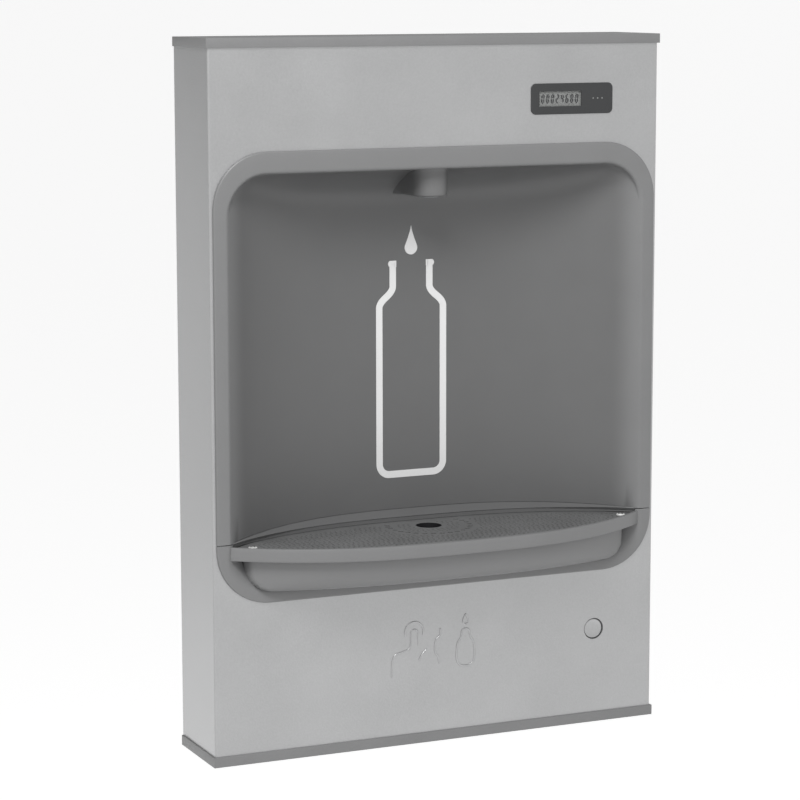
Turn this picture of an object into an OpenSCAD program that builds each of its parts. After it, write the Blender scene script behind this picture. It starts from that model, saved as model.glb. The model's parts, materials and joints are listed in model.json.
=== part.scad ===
// Wall-hung bottle filling fountain: a shallow stainless cabinet with a moulded alcove,
// a bowed drip basin, a bottle counter and a push button that opens a self-closing valve.
// +X is to the right as the user faces it, -Y is towards the user, the wall is the plane Y = 0,
// and the origin is the middle of the wall face. Modules measure heights from the underside.

/* [Cabinet] */
// Width across the stainless front panel
body_w = 454; // [430:1:560]
// Overall height, both end caps included
body_h = 663; // [620:1:800]
// Depth from the wall to the front panel
body_d = 87; // [84:1:110]
// Stainless sheet thickness of the wrapper
sheet = 1.2; // [1:0.1:1.6]
// Steel thickness of the back plate
plate_t = 1.5; // [1.2:0.1:2]
// Height of the top cap
top_cap_h = 8.8; // [7:0.1:12]
// Height of the bottom cap
bottom_cap_h = 9.6; // [7:0.1:12]
// How far the end caps stand out past the panel
cap_overhang = 1.5; // [0.5:0.1:3]
// Wall thickness of the end caps
cap_wall = 4; // [3:0.5:5]
// Depth of the folded rims of wrapper and back plate
rim_d = 20; // [16:1:24]
// Spacing of the wall bolts across
bolt_spacing_x = 360; // [300:5:380]
// Spacing of the wall bolts up and down
bolt_spacing_z = 570; // [500:5:590]
// Diameter of the wall bolt holes
bolt_hole_d = 8; // [6:0.5:10]

/* [Alcove] */
// Panel left showing on each side of the bezel
side_margin = 3.2; // [2:0.2:12]
// Panel height below the bezel, from the underside
sill_h = 150; // [140:1:190]
// Panel height above the bezel, cap included
head_h = 101; // [98:1:150]
// Width of the bezel at its sides
bezel_side = 11.8; // [9:0.2:16]
// Width of the bezel at its top
bezel_top = 16.5; // [10:0.5:22]
// How far the bezel stands out of the panel
bezel_proud = 2.5; // [1:0.1:4]
// Outer corner radius of the bezel
bezel_r = 52; // [40:1:64]
// Depth of the alcove at its middle, behind the panel face
alcove_depth = 66; // [56:1:70]
// Wall thickness of the moulded liner and basin
liner_t = 3; // [2.5:0.1:4]
// Fullness of the bowed plan outline
bow_power = 2.7; // [2:0.1:3.5]

/* [Basin] */
// Height of the basin, from the sill to the joint with the liner
basin_h = 57; // [54:1:64]
// How far the lip bows out in front of the panel
lip_bulge = 62; // [40:1:70]
// Height of the lip's front band
lip_h = 12.5; // [10:0.5:16]
// Drop from the joint to the top of the lip
lip_drop = 2.5; // [1.5:0.5:5]
// Thickness of the lip around the grille
lip_t = 4; // [3:0.5:6]
// How far the bowl is set back under the lip
bowl_setback = 9; // [5:0.5:14]
// Rounding of the bowl towards its floor
bowl_round = 26; // [12:1:30]
// Floor of the basin above the sill
floor_rise = 15; // [13:1:18]
// Distance of the drain behind the panel face
drain_back = 37; // [34:1:42]
// Outer diameter of the drain pipe
drain_pipe_d = 31.75; // [30:0.05:34]
// Height of the drain's wall outlet above the underside
drain_out_h = 60; // [50:1:70]

/* [Grille] */
// Thickness of the grille
grille_t = 2.5; // [2:0.5:3]
// Depth of the grille's top below the lip
grille_sink = 1.5; // [0.5:0.5:3]
// Clearance around the grille
grille_gap = 0.6; // [0.3:0.1:1.2]
// Diameter of the stream hole in the grille
stream_hole_d = 24; // [18:1:30]
// Distance of the falling stream behind the panel face
spout_back = 26; // [24:1:32]
// Spacing of the grille slots
slot_pitch = 11; // [10:0.5:14]

/* [Nozzle] */
// Width of the hood over the nozzle
hood_w = 34; // [30:1:40]
// Set-back of the hood's nose behind the panel face
hood_front = 9; // [6:1:12]
// Drop of the hood below the alcove ceiling
hood_drop = 30.5; // [26:0.5:40]
// Wall thickness of the hood
hood_t = 3; // [2.5:0.5:4]
// Outer diameter of the water tube
tube_d = 9.52; // [8:0.01:10]
// Wall thickness of the water tube
tube_wall = 1; // [0.7:0.1:1.5]
// Bend radius of the water tube
tube_bend = 14; // [12:1:15]

/* [Counter] */
// Width of the counter's dark frame
display_w = 85.6; // [80:0.2:92]
// Height of the counter's dark frame
display_h = 28.8; // [26:0.2:30]
// Counter centre from the right edge of the panel
display_from_edge = 91.4; // [88:0.2:110]
// Counter centre below the top of the cabinet
display_from_top = 59.6; // [59:0.2:62]
// Width of the counter's window
lcd_w = 44; // [40:0.5:46]
// Height of the counter's window
lcd_h = 14; // [12:0.5:15]

/* [Button] */
// Diameter of the push button
button_d = 19.2; // [18:0.1:22]
// Button centre from the right edge of the panel
button_from_edge = 63.3; // [62:0.1:72]
// Button centre above the underside
button_h = 92.3; // [85:0.1:96]
// Travel of the push button
travel = 5; // [3:0.5:5]
// Diameter of the push rod and valve stem
rod_d = 6; // [5:0.5:7]

/* [Hidden] */
$fn = 96;
tiny = 0.01;
cut = 1;
fit = 0.05;
loose = 0.4;
bow_steps = 14;
far = 3 * lip_bulge;

// Planes and heights that the pieces share
front_y = -body_d;
panel_rear_y = front_y + sheet;
plate_y = -plate_t;
shell_z0 = bottom_cap_h;
shell_z1 = body_h - top_cap_h;
bezel_w = body_w - 2 * side_margin;
bezel_z1 = body_h - head_h;
half_in = bezel_w / 2 - bezel_side;
inner_r = bezel_r - bezel_side;
ceiling_z = bezel_z1 - bezel_top;
floor_z = sill_h + floor_rise;
seam_z = sill_h + basin_h;
opening_gap = 1;
lip_z1 = seam_z - lip_drop;
lip_z0 = lip_z1 - lip_h;
grille_z = lip_z1 - grille_sink - grille_t;
ledge_w = 5;
tray_w = body_w - 2 * (sheet + loose);

// Cap screws
cap_screw_d = 4;
cap_screw_head_d = 7;
cap_screw_head_h = 2.4;
cap_boss_d = 10;
cap_floor = 2.5;
cap_screw_in = 12;

// Bowl under the lip
bowl_layers = 10;
bowl_narrow = 15;
bowl_taper = 24;
bowl_z0 = floor_z - liner_t;
layer_h = (lip_z0 - bowl_z0) / bowl_layers;

// Grille and its screws
slot_l = 7;
slot_w = 2.4;
grille_rim = 11;
grille_half = half_in - lip_t - grille_gap;
grille_front = lip_bulge - lip_t - grille_gap;
grille_back = alcove_depth - grille_gap;
slot_columns = floor(grille_half / slot_pitch) - 1;
slot_rows = floor(max(grille_front, grille_back) / slot_pitch);
ring_r = 24;
grille_screw_d = 3.6;
grille_screw_head_d = 8.4;
grille_screw_head_h = 1.2;
grille_screw_l = 8;
grille_screw_in = 22;
grille_screw_x = half_in - grille_screw_in;
grille_screw_y = front_y - 4;

// Clips that hold the mouldings behind the panel
clip_l = 22;
clip_d = 8;
clip_h = 6;
clip_in = 86;
clip_x = half_in - clip_in;

// Water way
tube_r = tube_d / 2;
water_r = tube_r - tube_wall;
water_y = -29;
spout_y = front_y + spout_back;
hood_z = ceiling_z - hood_drop;
hood_r = 9;
hood_back = 12;
nozzle_wall = 2.24;
nozzle_r = tube_r + nozzle_wall;
nozzle_tip = 1;
nozzle_l = 18;
nozzle_rim = 2;
nozzle_flange_r = nozzle_r + nozzle_rim;
seal_t = 1.5;
seal_rim = 2.5;
seal_r = nozzle_r + seal_rim;
nut_wall = 3;
nut_r = nozzle_r + nut_wall;
nut_h = 8;
tube_nut_wall = 3.04;
tube_nut_r = tube_r + tube_nut_wall;
nozzle_top = hood_z + nozzle_l;
socket_d = 4;
riser_in = 24;
riser_x = body_w / 2 - riser_in;
run_rise = 23;
run_z = ceiling_z + liner_t + run_rise;
block_rim = 0.2;
block = 2 * (tube_nut_r + block_rim);
post_r = 6;
jog_rise = 48;
jog_z = button_h + jog_rise;
tube_clip_in = 50;

// Valve, its ports and the push button's line
valve_x = body_w / 2 - button_from_edge;
valve_s = 34;
valve_y0 = water_y - valve_s / 2;
valve_y1 = water_y + valve_s / 2;
port_wall = 3.24;
port_r = tube_r + port_wall;
port_l = 8;
rod_r = rod_d / 2;
chamber_room = 5;
chamber_r = rod_r + chamber_room;
chamber_wall = 6;
chamber_end = valve_y1 - chamber_wall;
bonnet_rim = 5;
bonnet_r = chamber_r + bonnet_rim;
bonnet_t = 4;
bonnet_plug = 6;
bonnet_y = valve_y0 - bonnet_t;
stem_spare = 1.5;
stem_out = travel + stem_spare;
poppet_loose = 1.5;
poppet_r = chamber_r - poppet_loose;
poppet_t = 4;
poppet_gap = 2;
poppet_y = valve_y0 + bonnet_plug + poppet_gap;
button_r = button_d / 2;
button_sink = 1;
button_l = 12;
button_y0 = front_y + button_sink;
button_y1 = button_y0 + button_l;
collar_rim = 2;
collar_r = button_r + collar_rim;
collar_t = 2;
bush_wall = 4;
bush_r = button_r + bush_wall;
bush_rim = 8;
bush_flange_r = button_r + bush_rim;
bush_flange_t = 3;
bush_gap = 0.3;
bush_y1 = button_y1 - bush_gap;
panel_hole_gap = 0.75;
panel_hole_r = button_r + panel_hole_gap;
rod_seat = 6;
rod_y0 = button_y1 - rod_seat;
rod_y1 = bonnet_y - stem_out;
spring_room = 3;
spring_r = rod_r + spring_room;
spring_wire = 1.2;
spring_turns = 7;
valve_spring_in = 3.5;
valve_spring_r = chamber_r - valve_spring_in;
valve_spring_turns = 5;
spring_sides = 8;
spring_steps = 14;

// Flow sensor
sensor_from_valve = 58.7;
sensor_x = valve_x - sensor_from_valve;
sensor_r = 18;
sensor_l = 20;
sensor_reach = 26;
sensor_floor = 3;
sensor_lid = 3;
sensor_chamber_r = 14.5;
sensor_front = 12;
sensor_y0 = water_y - sensor_front;
sensor_y1 = sensor_y0 + sensor_l;
sensor_post_r = 8;
rotor_r = 13.5;
rotor_hub_r = 4;
rotor_blades = 6;
rotor_blade_t = 1.6;
rotor_gap = 1.5;
axle_r = 1.5;
axle_seat = 1.5;
inlet_run = 19;
inlet_x = sensor_x - sensor_reach - inlet_run;
inlet_end = -2;
inlet_hole_gap = 10.24;
inlet_hole_r = tube_r + inlet_hole_gap;

// Drain
drain_y = front_y + drain_back;
drain_r = drain_pipe_d / 2;
drain_wall = 1.4;
drain_bend = 24;
stub_r = drain_r - drain_wall - fit;
stub_wall = 1.5;
stub_l = 26;
strainer_rim = 6.575;
strainer_r = stub_r + strainer_rim;
strainer_t = 1.5;
strainer_hole_r = 1.6;
gasket_rim = 7.575;
gasket_r = stub_r + gasket_rim;
gasket_t = 2;
locknut_rim = 8.575;
locknut_r = stub_r + locknut_rim;
locknut_h = 8;
drain_end = -2;
drain_hole_gap = 11.125;
drain_hole_r = drain_r + drain_hole_gap;

// Counter
display_x = body_w / 2 - display_from_edge;
display_z = body_h - display_from_top;
display_r = 5;
display_proud = 0.8;
neck_in = 4;
lcd_shift = -12.3;
lcd_edge = 1.5;
lens_t = 0.8;
lcd_t = 1.8;
board_t = 1.6;
light_r = 0.75;
light_x0 = 22.3;
light_pitch = 4.7;
light_count = 3;
housing_in = 1;
housing_t = 1.6;
housing_d = 17;
cell_d = 14.2;
cell_l = 50.5;
cell_count = 3;
cell_pitch = 15.6;
holder_t = 2;
holder_d = 22.5;
holder_x = -120;
holder_w = cell_l + 2 * (holder_t + loose);
holder_h = cell_pitch * (cell_count - 1) + cell_d + 2 * (holder_t + loose);

// White marks on the alcove wall
mark_t = 0.6;
mark_line = 6.8;
bottle_half = 36.6;
bottle_foot = 93.5;
bottle_r = 12;
bottle_body_h = 158;
bottle_neck_half = 22.4;
bottle_shoulder_h = 24;
bottle_top_h = 208;
bottle_lip = 3.2;
bottle_lip_h = 6;
drop_foot = 306.5;
drop_r = 6.6;
drop_h = 27.5;

module from_base() translate([0, 0, -body_h / 2]) children();

// A bow that is 1 in the middle and 0 at both ends
function bow(u) = 1 - pow(abs(u), bow_power);
function bow_line(half, reach, way) =
    [for (i = [1 - bow_steps : bow_steps - 1]) [way * half * i / bow_steps, reach * bow(i / bow_steps)]];

// Lens outline that bows forward by front and back by back, between two points 2 * half apart
module lens(half, front, back) {
    polygon(concat(
        [[-half, 0]],
        front > 0 ? bow_line(half, -front, 1) : [],
        [[half, 0]],
        back > 0 ? bow_line(half, back, -1) : []
    ));
}

module rounded_rect(w, h, r) {
    square([w - 2 * r, h], center = true);
    square([w, h - 2 * r], center = true);
    for (x = [-1, 1], z = [-1, 1])
        translate([x * (w / 2 - r), z * (h / 2 - r)])
            circle(r);
}

// Rounded plate that faces the user, between two heights and two depths
module front_plate(x, w, z0, z1, r, y0, y1) {
    translate([x, y1, (z0 + z1) / 2])
        rotate([90, 0, 0])
            linear_extrude(y1 - y0)
                rounded_rect(w, z1 - z0, r);
}

// Round bar along Y
module y_rod(r, y0, y1, x, z) {
    translate([x, y1, z])
        rotate([90, 0, 0])
            cylinder(r = r, h = y1 - y0);
}

module y_hex(r, y0, y1, x, z) {
    translate([x, y1, z])
        rotate([90, 0, 0])
            cylinder(r = r, h = y1 - y0, $fn = 6);
}

// Round bar along X
module x_rod(r, x0, x1, y, z) {
    translate([x0, y, z])
        rotate([0, 90, 0])
            cylinder(r = r, h = x1 - x0);
}

module slab_above(z) translate([-body_w, -far, z]) cube([2 * body_w, 2 * far, body_h]);
module slab_below(z) translate([-body_w, -far, z - body_h]) cube([2 * body_w, 2 * far, body_h]);

// The alcove's space, grown in plan and in front view; reach carries it out past the panel
module alcove_form(grow, reach) {
    intersection() {
        translate([0, front_y, 0])
            linear_extrude(body_h) {
                lens(half_in + grow, 0, alcove_depth + grow);
                if (reach > 0)
                    translate([-half_in - grow, -reach])
                        square([2 * (half_in + grow), reach + tiny]);
            }
        front_plate(0, 2 * (half_in + grow), floor_z - grow, ceiling_z + grow, inner_r + grow,
            front_y - far, -tiny);
    }
}

module bezel_form() {
    front_plate(0, bezel_w, sill_h, bezel_z1, bezel_r, front_y - bezel_proud, front_y);
}

// Water tube in the XY plane along right-angled legs
function turn(a, b, c) = (b[0] - a[0]) * (c[1] - b[1]) - (b[1] - a[1]) * (c[0] - b[0]) > 0 ? 1 : -1;
function heading(a, b) = atan2(b[1] - a[1], b[0] - a[0]);

module leg(a, b, r) {
    translate([a[0], a[1], 0])
        rotate([0, 90, heading(a, b)])
            cylinder(r = r, h = norm(b - a));
}

module bent_bar(path, r, bend) {
    last = len(path) - 1;
    for (i = [0 : last - 1]) {
        along = (path[i + 1] - path[i]) / norm(path[i + 1] - path[i]);
        leg(path[i] + (i > 0 ? bend : 0) * along, path[i + 1] - (i < last - 1 ? bend : 0) * along, r);
    }
    for (i = [1 : last - 1]) {
        side = turn(path[i - 1], path[i], path[i + 1]);
        before = (path[i] - path[i - 1]) / norm(path[i] - path[i - 1]);
        centre = path[i] - bend * before + side * bend * [-before[1], before[0]];
        start = heading(path[i - 1], path[i]) - (side > 0 ? 90 : 0);
        translate([centre[0], centre[1], 0])
            rotate([0, 0, start])
                rotate_extrude(angle = 90)
                    translate([bend, 0])
                        circle(r);
    }
}

module bent_tube(path, r, wall, bend) {
    difference() {
        bent_bar(path, r, bend);
        bent_bar(path, r - wall, bend);
    }
}

// Coil spring along Y between two depths, as one swept round wire
module coil(r, wire, turns, y0, y1, x, z) {
    rings = turns * spring_steps;
    rise = (y1 - y0 - wire) / rings;
    points = [for (i = [0 : rings], j = [0 : spring_sides - 1])
        let (a = 360 * i / spring_steps, b = 360 * j / spring_sides, reach = r + wire / 2 * cos(b))
        [x + reach * cos(a), y0 + wire / 2 + rise * i + wire / 2 * sin(b), z - reach * sin(a)]];
    sides = [for (i = [0 : rings - 1], j = [0 : spring_sides - 1])
        let (k = (j + 1) % spring_sides, a = i * spring_sides, b = a + spring_sides)
        [a + j, a + k, b + k, b + j]];
    start = [[for (j = [spring_sides - 1 : -1 : 0]) j]];
    end = [[for (j = [0 : spring_sides - 1]) rings * spring_sides + j]];
    polyhedron(points, concat(sides, start, end));
}

// ---- cabinet ----

module cap_screw_spots() {
    for (x = [-1, 1], y = [front_y + cap_screw_in, plate_y - cap_screw_in])
        translate([x * (tray_w / 2 - cap_screw_in), y, 0])
            children();
}

module front_wrapper() color("#b9bcbe") from_base() {
    difference() {
        translate([-body_w / 2, front_y, shell_z0])
            cube([body_w, body_d, shell_z1 - shell_z0]);
        translate([-body_w / 2 + sheet, panel_rear_y, shell_z0 + sheet])
            cube([body_w - 2 * sheet, body_d, shell_z1 - shell_z0 - 2 * sheet]);
        translate([-body_w / 2 + sheet, front_y + rim_d, shell_z0 - tiny])
            cube([body_w - 2 * sheet, body_d, shell_z1 - shell_z0 + 2 * tiny]);
        front_plate(0, 2 * (half_in + liner_t + opening_gap), floor_z - liner_t - opening_gap,
            ceiling_z + liner_t + opening_gap, inner_r + liner_t + opening_gap,
            front_y - tiny, panel_rear_y + tiny);
        display_cutout();
        y_rod(panel_hole_r, front_y - tiny, panel_rear_y + tiny, valve_x, button_h);
        cap_screw_spots()
            translate([0, 0, shell_z0 - tiny])
                cylinder(r = cap_screw_d / 2 + fit, h = body_h);
    }
}

module back_plate() color("#8f9498") from_base() {
    difference() {
        translate([-tray_w / 2, -rim_d, shell_z0])
            cube([tray_w, rim_d, shell_z1 - shell_z0]);
        translate([-tray_w / 2 + plate_t, -rim_d - tiny, shell_z0 + plate_t])
            cube([tray_w - 2 * plate_t, rim_d - plate_t + tiny, shell_z1 - shell_z0 - 2 * plate_t]);
        for (x = [-1, 1], z = [-1, 1])
            y_rod(bolt_hole_d / 2, -rim_d, tiny, x * bolt_spacing_x / 2, body_h / 2 + z * bolt_spacing_z / 2);
        y_rod(drain_hole_r, -rim_d, tiny, 0, drain_out_h);
        y_rod(inlet_hole_r, -rim_d, tiny, inlet_x, button_h);
        cap_screw_spots()
            translate([0, 0, shell_z0 - tiny])
                cylinder(r = cap_screw_d / 2 + fit, h = body_h);
    }
}

// Tray-shaped cap, open towards the cabinet, with a boss over each screw
module cap(h) {
    w = body_w + 2 * cap_overhang;
    d = body_d + cap_overhang;
    difference() {
        union() {
            difference() {
                translate([-w / 2, -d, 0])
                    cube([w, d, h]);
                translate([-w / 2 + cap_wall, -d + cap_wall, -tiny])
                    cube([w - 2 * cap_wall, d - 2 * cap_wall, h - cap_floor + tiny]);
            }
            cap_screw_spots()
                cylinder(d = cap_boss_d, h = h - cap_floor);
        }
        children();
    }
}

module top_cap() color("#8b8d8f") from_base() {
    translate([0, 0, shell_z1])
        cap(top_cap_h)
            cap_screw_spots()
                translate([0, 0, -tiny])
                    cylinder(r = cap_screw_d / 2, h = top_cap_h - cap_floor + tiny);
}

module bottom_cap() color("#8b8d8f") from_base() {
    translate([0, 0, shell_z0])
        mirror([0, 0, 1])
            cap(bottom_cap_h)
                cap_screw_spots() {
                    translate([0, 0, -tiny])
                        cylinder(r = cap_screw_d / 2 + fit, h = bottom_cap_h + 2 * tiny);
                    translate([0, 0, bottom_cap_h - cap_screw_head_h])
                        cylinder(r = cap_screw_head_d / 2 + loose, h = cap_screw_head_h + tiny);
                }
}

// Pan-head screw, head at the origin and shank along +Z
module pan_screw(d, head_d, head_h, length) {
    translate([0, 0, -head_h])
        cylinder(d = head_d, h = head_h);
    cylinder(d = d, h = length);
}

module top_cap_screws() color("#c9ccce") from_base() {
    cap_screw_spots()
        translate([0, 0, shell_z1 - plate_t])
            pan_screw(cap_screw_d, cap_screw_head_d, cap_screw_head_h, plate_t + top_cap_h - cap_floor);
}

module bottom_cap_screws() color("#c9ccce") from_base() {
    cap_screw_spots()
        translate([0, 0, cap_screw_head_h])
            pan_screw(cap_screw_d, cap_screw_head_d, cap_screw_head_h, shell_z0 + plate_t);
}

// ---- alcove, basin and grille ----

module hood_form(inset) {
    y0 = front_y + hood_front + inset;
    y1 = front_y + alcove_depth - (inset > 0 ? hood_back : 0);
    translate([0, (y0 + y1) / 2, hood_z + inset])
        linear_extrude(hood_drop + (inset > 0 ? liner_t : tiny))
            rounded_rect(hood_w - 2 * inset, y1 - y0, hood_r - inset);
}

module alcove_liner() color("#7e8082") from_base() {
    difference() {
        union() {
            difference() {
                intersection() {
                    slab_above(seam_z);
                    union() {
                        alcove_form(liner_t, 0);
                        bezel_form();
                    }
                }
                alcove_form(0, far / 2);
            }
            intersection() {
                hood_form(0);
                alcove_form(tiny, 0);
            }
        }
        hood_form(hood_t);
        translate([0, spout_y, hood_z - tiny])
            cylinder(r = nozzle_r + fit, h = hood_t + 2 * tiny);
    }
}

module clips(z) {
    for (x = [-1, 1])
        translate([x * clip_x - clip_l / 2, panel_rear_y, z])
            cube([clip_l, clip_d, clip_h]);
}

module liner_clips() color("#a8abad") from_base() clips(ceiling_z + liner_t);

module basin_clips() color("#a8abad") from_base() clips(floor_z - liner_t - clip_h);

function bowl_curve(k) = 1 - sqrt(1 - pow(1 - (k + 0.5) / bowl_layers, 2));
function bowl_half(k) = half_in - bowl_narrow - bowl_taper * bowl_curve(k);
function bowl_reach(k) = lip_bulge - bowl_setback - bowl_round * bowl_curve(k);

// Front of the bowl in level layers, each narrower towards the floor
module bowl_front(inset, first) {
    for (k = [first : bowl_layers - 1])
        translate([0, front_y, bowl_z0 + k * layer_h])
            linear_extrude(layer_h + tiny)
                lens(bowl_half(k) - inset, bowl_reach(k) - inset, tiny);
}

module basin() color("#7e8082") from_base() {
    difference() {
        union() {
            intersection() {
                slab_below(seam_z);
                union() {
                    alcove_form(liner_t, 0);
                    bezel_form();
                }
            }
            translate([0, front_y, lip_z0])
                linear_extrude(lip_h)
                    lens(half_in, lip_bulge, tiny);
            bowl_front(0, 0);
        }
        bowl_front(liner_t, 1);
        translate([0, front_y, lip_z0 - tiny])
            linear_extrude(grille_z - lip_z0 + 2 * tiny)
                lens(bowl_half(bowl_layers) - liner_t, bowl_reach(bowl_layers) - liner_t, tiny);
        intersection() {
            alcove_form(0, 0);
            translate([0, front_y, floor_z])
                linear_extrude(grille_z - floor_z + tiny)
                    lens(half_in - ledge_w, 0, alcove_depth - ledge_w);
        }
        translate([0, front_y, grille_z])
            linear_extrude(basin_h)
                lens(half_in - lip_t, lip_bulge - lip_t, tiny);
        intersection() {
            alcove_form(0, far / 2);
            slab_above(lip_z1);
        }
        intersection() {
            alcove_form(0, 0);
            slab_above(grille_z);
        }
        translate([0, drain_y, floor_z - liner_t - tiny])
            cylinder(r = stub_r + fit, h = liner_t + 2 * tiny);
        for (x = [-1, 1])
            translate([x * grille_screw_x, grille_screw_y, grille_z - grille_screw_l])
                cylinder(r = grille_screw_d / 2, h = grille_screw_l + tiny);
    }
}

module grille_slots() {
    for (i = [-slot_columns : slot_columns], j = [-slot_rows : slot_rows]) {
        x = (i + (abs(j) % 2) / 2) * slot_pitch;
        y = j * slot_pitch;
        room = bow(x / grille_half) * (y < 0 ? grille_front : grille_back) - grille_rim;
        if (abs(y) < room && norm([x, y - spout_back]) > ring_r)
            translate([x - slot_l / 2, front_y + y - slot_w / 2, grille_z - tiny])
                cube([slot_l, slot_w, grille_t + 2 * tiny]);
    }
}

module grille() color("#4b4d4f") from_base() {
    difference() {
        translate([0, front_y, grille_z])
            linear_extrude(grille_t)
                lens(grille_half, grille_front, grille_back);
        grille_slots();
        translate([0, spout_y, grille_z - tiny])
            cylinder(d = stream_hole_d, h = grille_t + 2 * tiny);
        for (x = [-1, 1])
            translate([x * grille_screw_x, grille_screw_y, grille_z - tiny])
                cylinder(r = grille_screw_d / 2 + fit, h = grille_t + 2 * tiny);
    }
}

module grille_screws() color("#dcdedf") from_base() {
    for (x = [-1, 1])
        translate([x * grille_screw_x, grille_screw_y, grille_z + grille_t])
            mirror([0, 0, 1])
                pan_screw(grille_screw_d, grille_screw_head_d, grille_screw_head_h,
                    grille_t + grille_screw_l - cut);
}

// Thin skin on the alcove wall, cut to an outline drawn in front view
module wall_mark() {
    intersection() {
        difference() {
            alcove_form(0, 0);
            alcove_form(-mark_t, far);
        }
        translate([0, 0, sill_h])
            rotate([90, 0, 0])
                linear_extrude(body_d)
                    children();
    }
}

// Half outline of the bottle, inset by its line
function bottle_side(s, inset) = [
    [s * (bottle_half - inset), bottle_foot + bottle_r],
    [s * (bottle_half - inset), bottle_foot + bottle_body_h],
    [s * (bottle_neck_half - inset), bottle_foot + bottle_body_h + bottle_shoulder_h],
    [s * (bottle_neck_half - inset), bottle_foot + bottle_top_h]
];

module bottle_shape(inset) {
    polygon(concat(
        bottle_side(1, inset),
        [for (p = [3 : -1 : 0]) bottle_side(-1, inset)[p]]
    ));
    translate([0, bottle_foot + bottle_r + inset / 2])
        rounded_rect(2 * (bottle_half - inset), 2 * bottle_r - inset, bottle_r - inset / 2 - tiny);
}

module bottle_mark() color("#f2f3f3") from_base() {
    wall_mark() {
        difference() {
            bottle_shape(0);
            bottle_shape(mark_line);
            translate([-bottle_neck_half + mark_line, bottle_foot + bottle_body_h])
                square([2 * (bottle_neck_half - mark_line), bottle_top_h]);
        }
        for (s = [-1, 1])
            translate([s * (bottle_neck_half + bottle_lip / 2 - mark_line / 2),
                bottle_foot + bottle_top_h - bottle_lip_h / 2])
                square([mark_line + bottle_lip, bottle_lip_h], center = true);
    }
}

module drop_mark() color("#f2f3f3") from_base() {
    wall_mark() {
        translate([0, drop_foot + drop_r])
            circle(drop_r);
        polygon([
            [-drop_r * cos(20), drop_foot + drop_r * (1 + sin(20))],
            [drop_r * cos(20), drop_foot + drop_r * (1 + sin(20))],
            [0, drop_foot + drop_h]
        ]);
    }
}

// ---- nozzle and tubes ----

module nozzle() color("#55585a") from_base() {
    translate([0, spout_y, 0])
        difference() {
            union() {
                translate([0, 0, hood_z])
                    cylinder(r = nozzle_r, h = nozzle_l);
                translate([0, 0, hood_z - nozzle_tip])
                    cylinder(r = nozzle_flange_r, h = nozzle_tip);
            }
            translate([0, 0, hood_z - nozzle_tip - tiny])
                cylinder(r = water_r, h = nozzle_l + nozzle_tip + 2 * tiny);
            translate([0, 0, nozzle_top - socket_d])
                cylinder(r = tube_r, h = socket_d + tiny);
        }
}

module nozzle_seal() color("#2b2c2d") from_base() {
    translate([0, spout_y, hood_z + hood_t])
        difference() {
            cylinder(r = seal_r, h = seal_t);
            translate([0, 0, -tiny])
                cylinder(r = nozzle_r, h = seal_t + 2 * tiny);
        }
}

module nozzle_nut() color("#c4a45a") from_base() {
    translate([0, spout_y, hood_z + hood_t + seal_t])
        difference() {
            cylinder(r = nut_r, h = nut_h, $fn = 6);
            translate([0, 0, -tiny])
                cylinder(r = nozzle_r, h = nut_h + 2 * tiny);
        }
}

module spout_tube() color("#c98b58") from_base() {
    rotate([90, 0, 90])
        bent_tube([[water_y - block / 2, run_z], [spout_y, run_z], [spout_y, nozzle_top - socket_d]],
            tube_r, tube_wall, tube_bend);
}

module tube_elbow() color("#c4a45a") from_base() {
    difference() {
        union() {
            translate([-block / 2, water_y - block / 2, run_z - block / 2])
                cube(block);
            y_rod(post_r, water_y + block / 2, plate_y, 0, run_z);
        }
        y_rod(water_r, water_y - block, water_y, 0, run_z);
        x_rod(water_r, 0, block, water_y, run_z);
    }
}

module riser_tube() color("#c98b58") from_base() {
    translate([0, water_y, 0])
        rotate([90, 0, 0])
            bent_tube([[valve_x, button_h + valve_s / 2 + port_l], [valve_x, jog_z], [riser_x, jog_z],
                [riser_x, run_z], [block / 2, run_z]], tube_r, tube_wall, tube_bend);
}

// Stand-off clips on the back plate that grip the riser
module tube_clips() color("#3a3c3e") from_base() {
    for (z = [sill_h + tube_clip_in, body_h / 2, ceiling_z - tube_clip_in])
        difference() {
            translate([riser_x - block / 2, water_y - block / 2, z])
                cube([block, plate_y - water_y + block / 2, block]);
            translate([riser_x, water_y, z - tiny])
                cylinder(r = tube_r + fit, h = block + 2 * tiny);
        }
}

module tube_nut() {
    difference() {
        cylinder(r = tube_nut_r, h = nut_h, $fn = 6);
        translate([0, 0, -tiny])
            cylinder(r = tube_r + fit, h = nut_h + 2 * tiny);
    }
}

// Compression nuts, each hard up against the port that it closes
module tube_nuts() color("#d1b878") from_base() {
    translate([valve_x, water_y, button_h + valve_s / 2 + port_l])
        tube_nut();
    translate([block / 2, water_y, run_z])
        rotate([0, 90, 0])
            tube_nut();
    translate([0, water_y - block / 2, run_z])
        rotate([90, 0, 0])
            tube_nut();
}

module link_tube() color("#c98b58") from_base() {
    translate([0, water_y, button_h])
        rotate([90, 0, 0])
            difference() {
                leg([sensor_x + sensor_reach, 0], [valve_x - valve_s / 2 - port_l, 0], tube_r);
                leg([sensor_x + sensor_reach - cut, 0], [valve_x - valve_s / 2 - port_l + cut, 0], water_r);
            }
}

module inlet_tube() color("#c98b58") from_base() {
    translate([0, 0, button_h])
        bent_tube([[sensor_x - sensor_reach, water_y], [inlet_x, water_y], [inlet_x, inlet_end]],
            tube_r, tube_wall, tube_bend - 2);
}

// ---- drain ----

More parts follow.
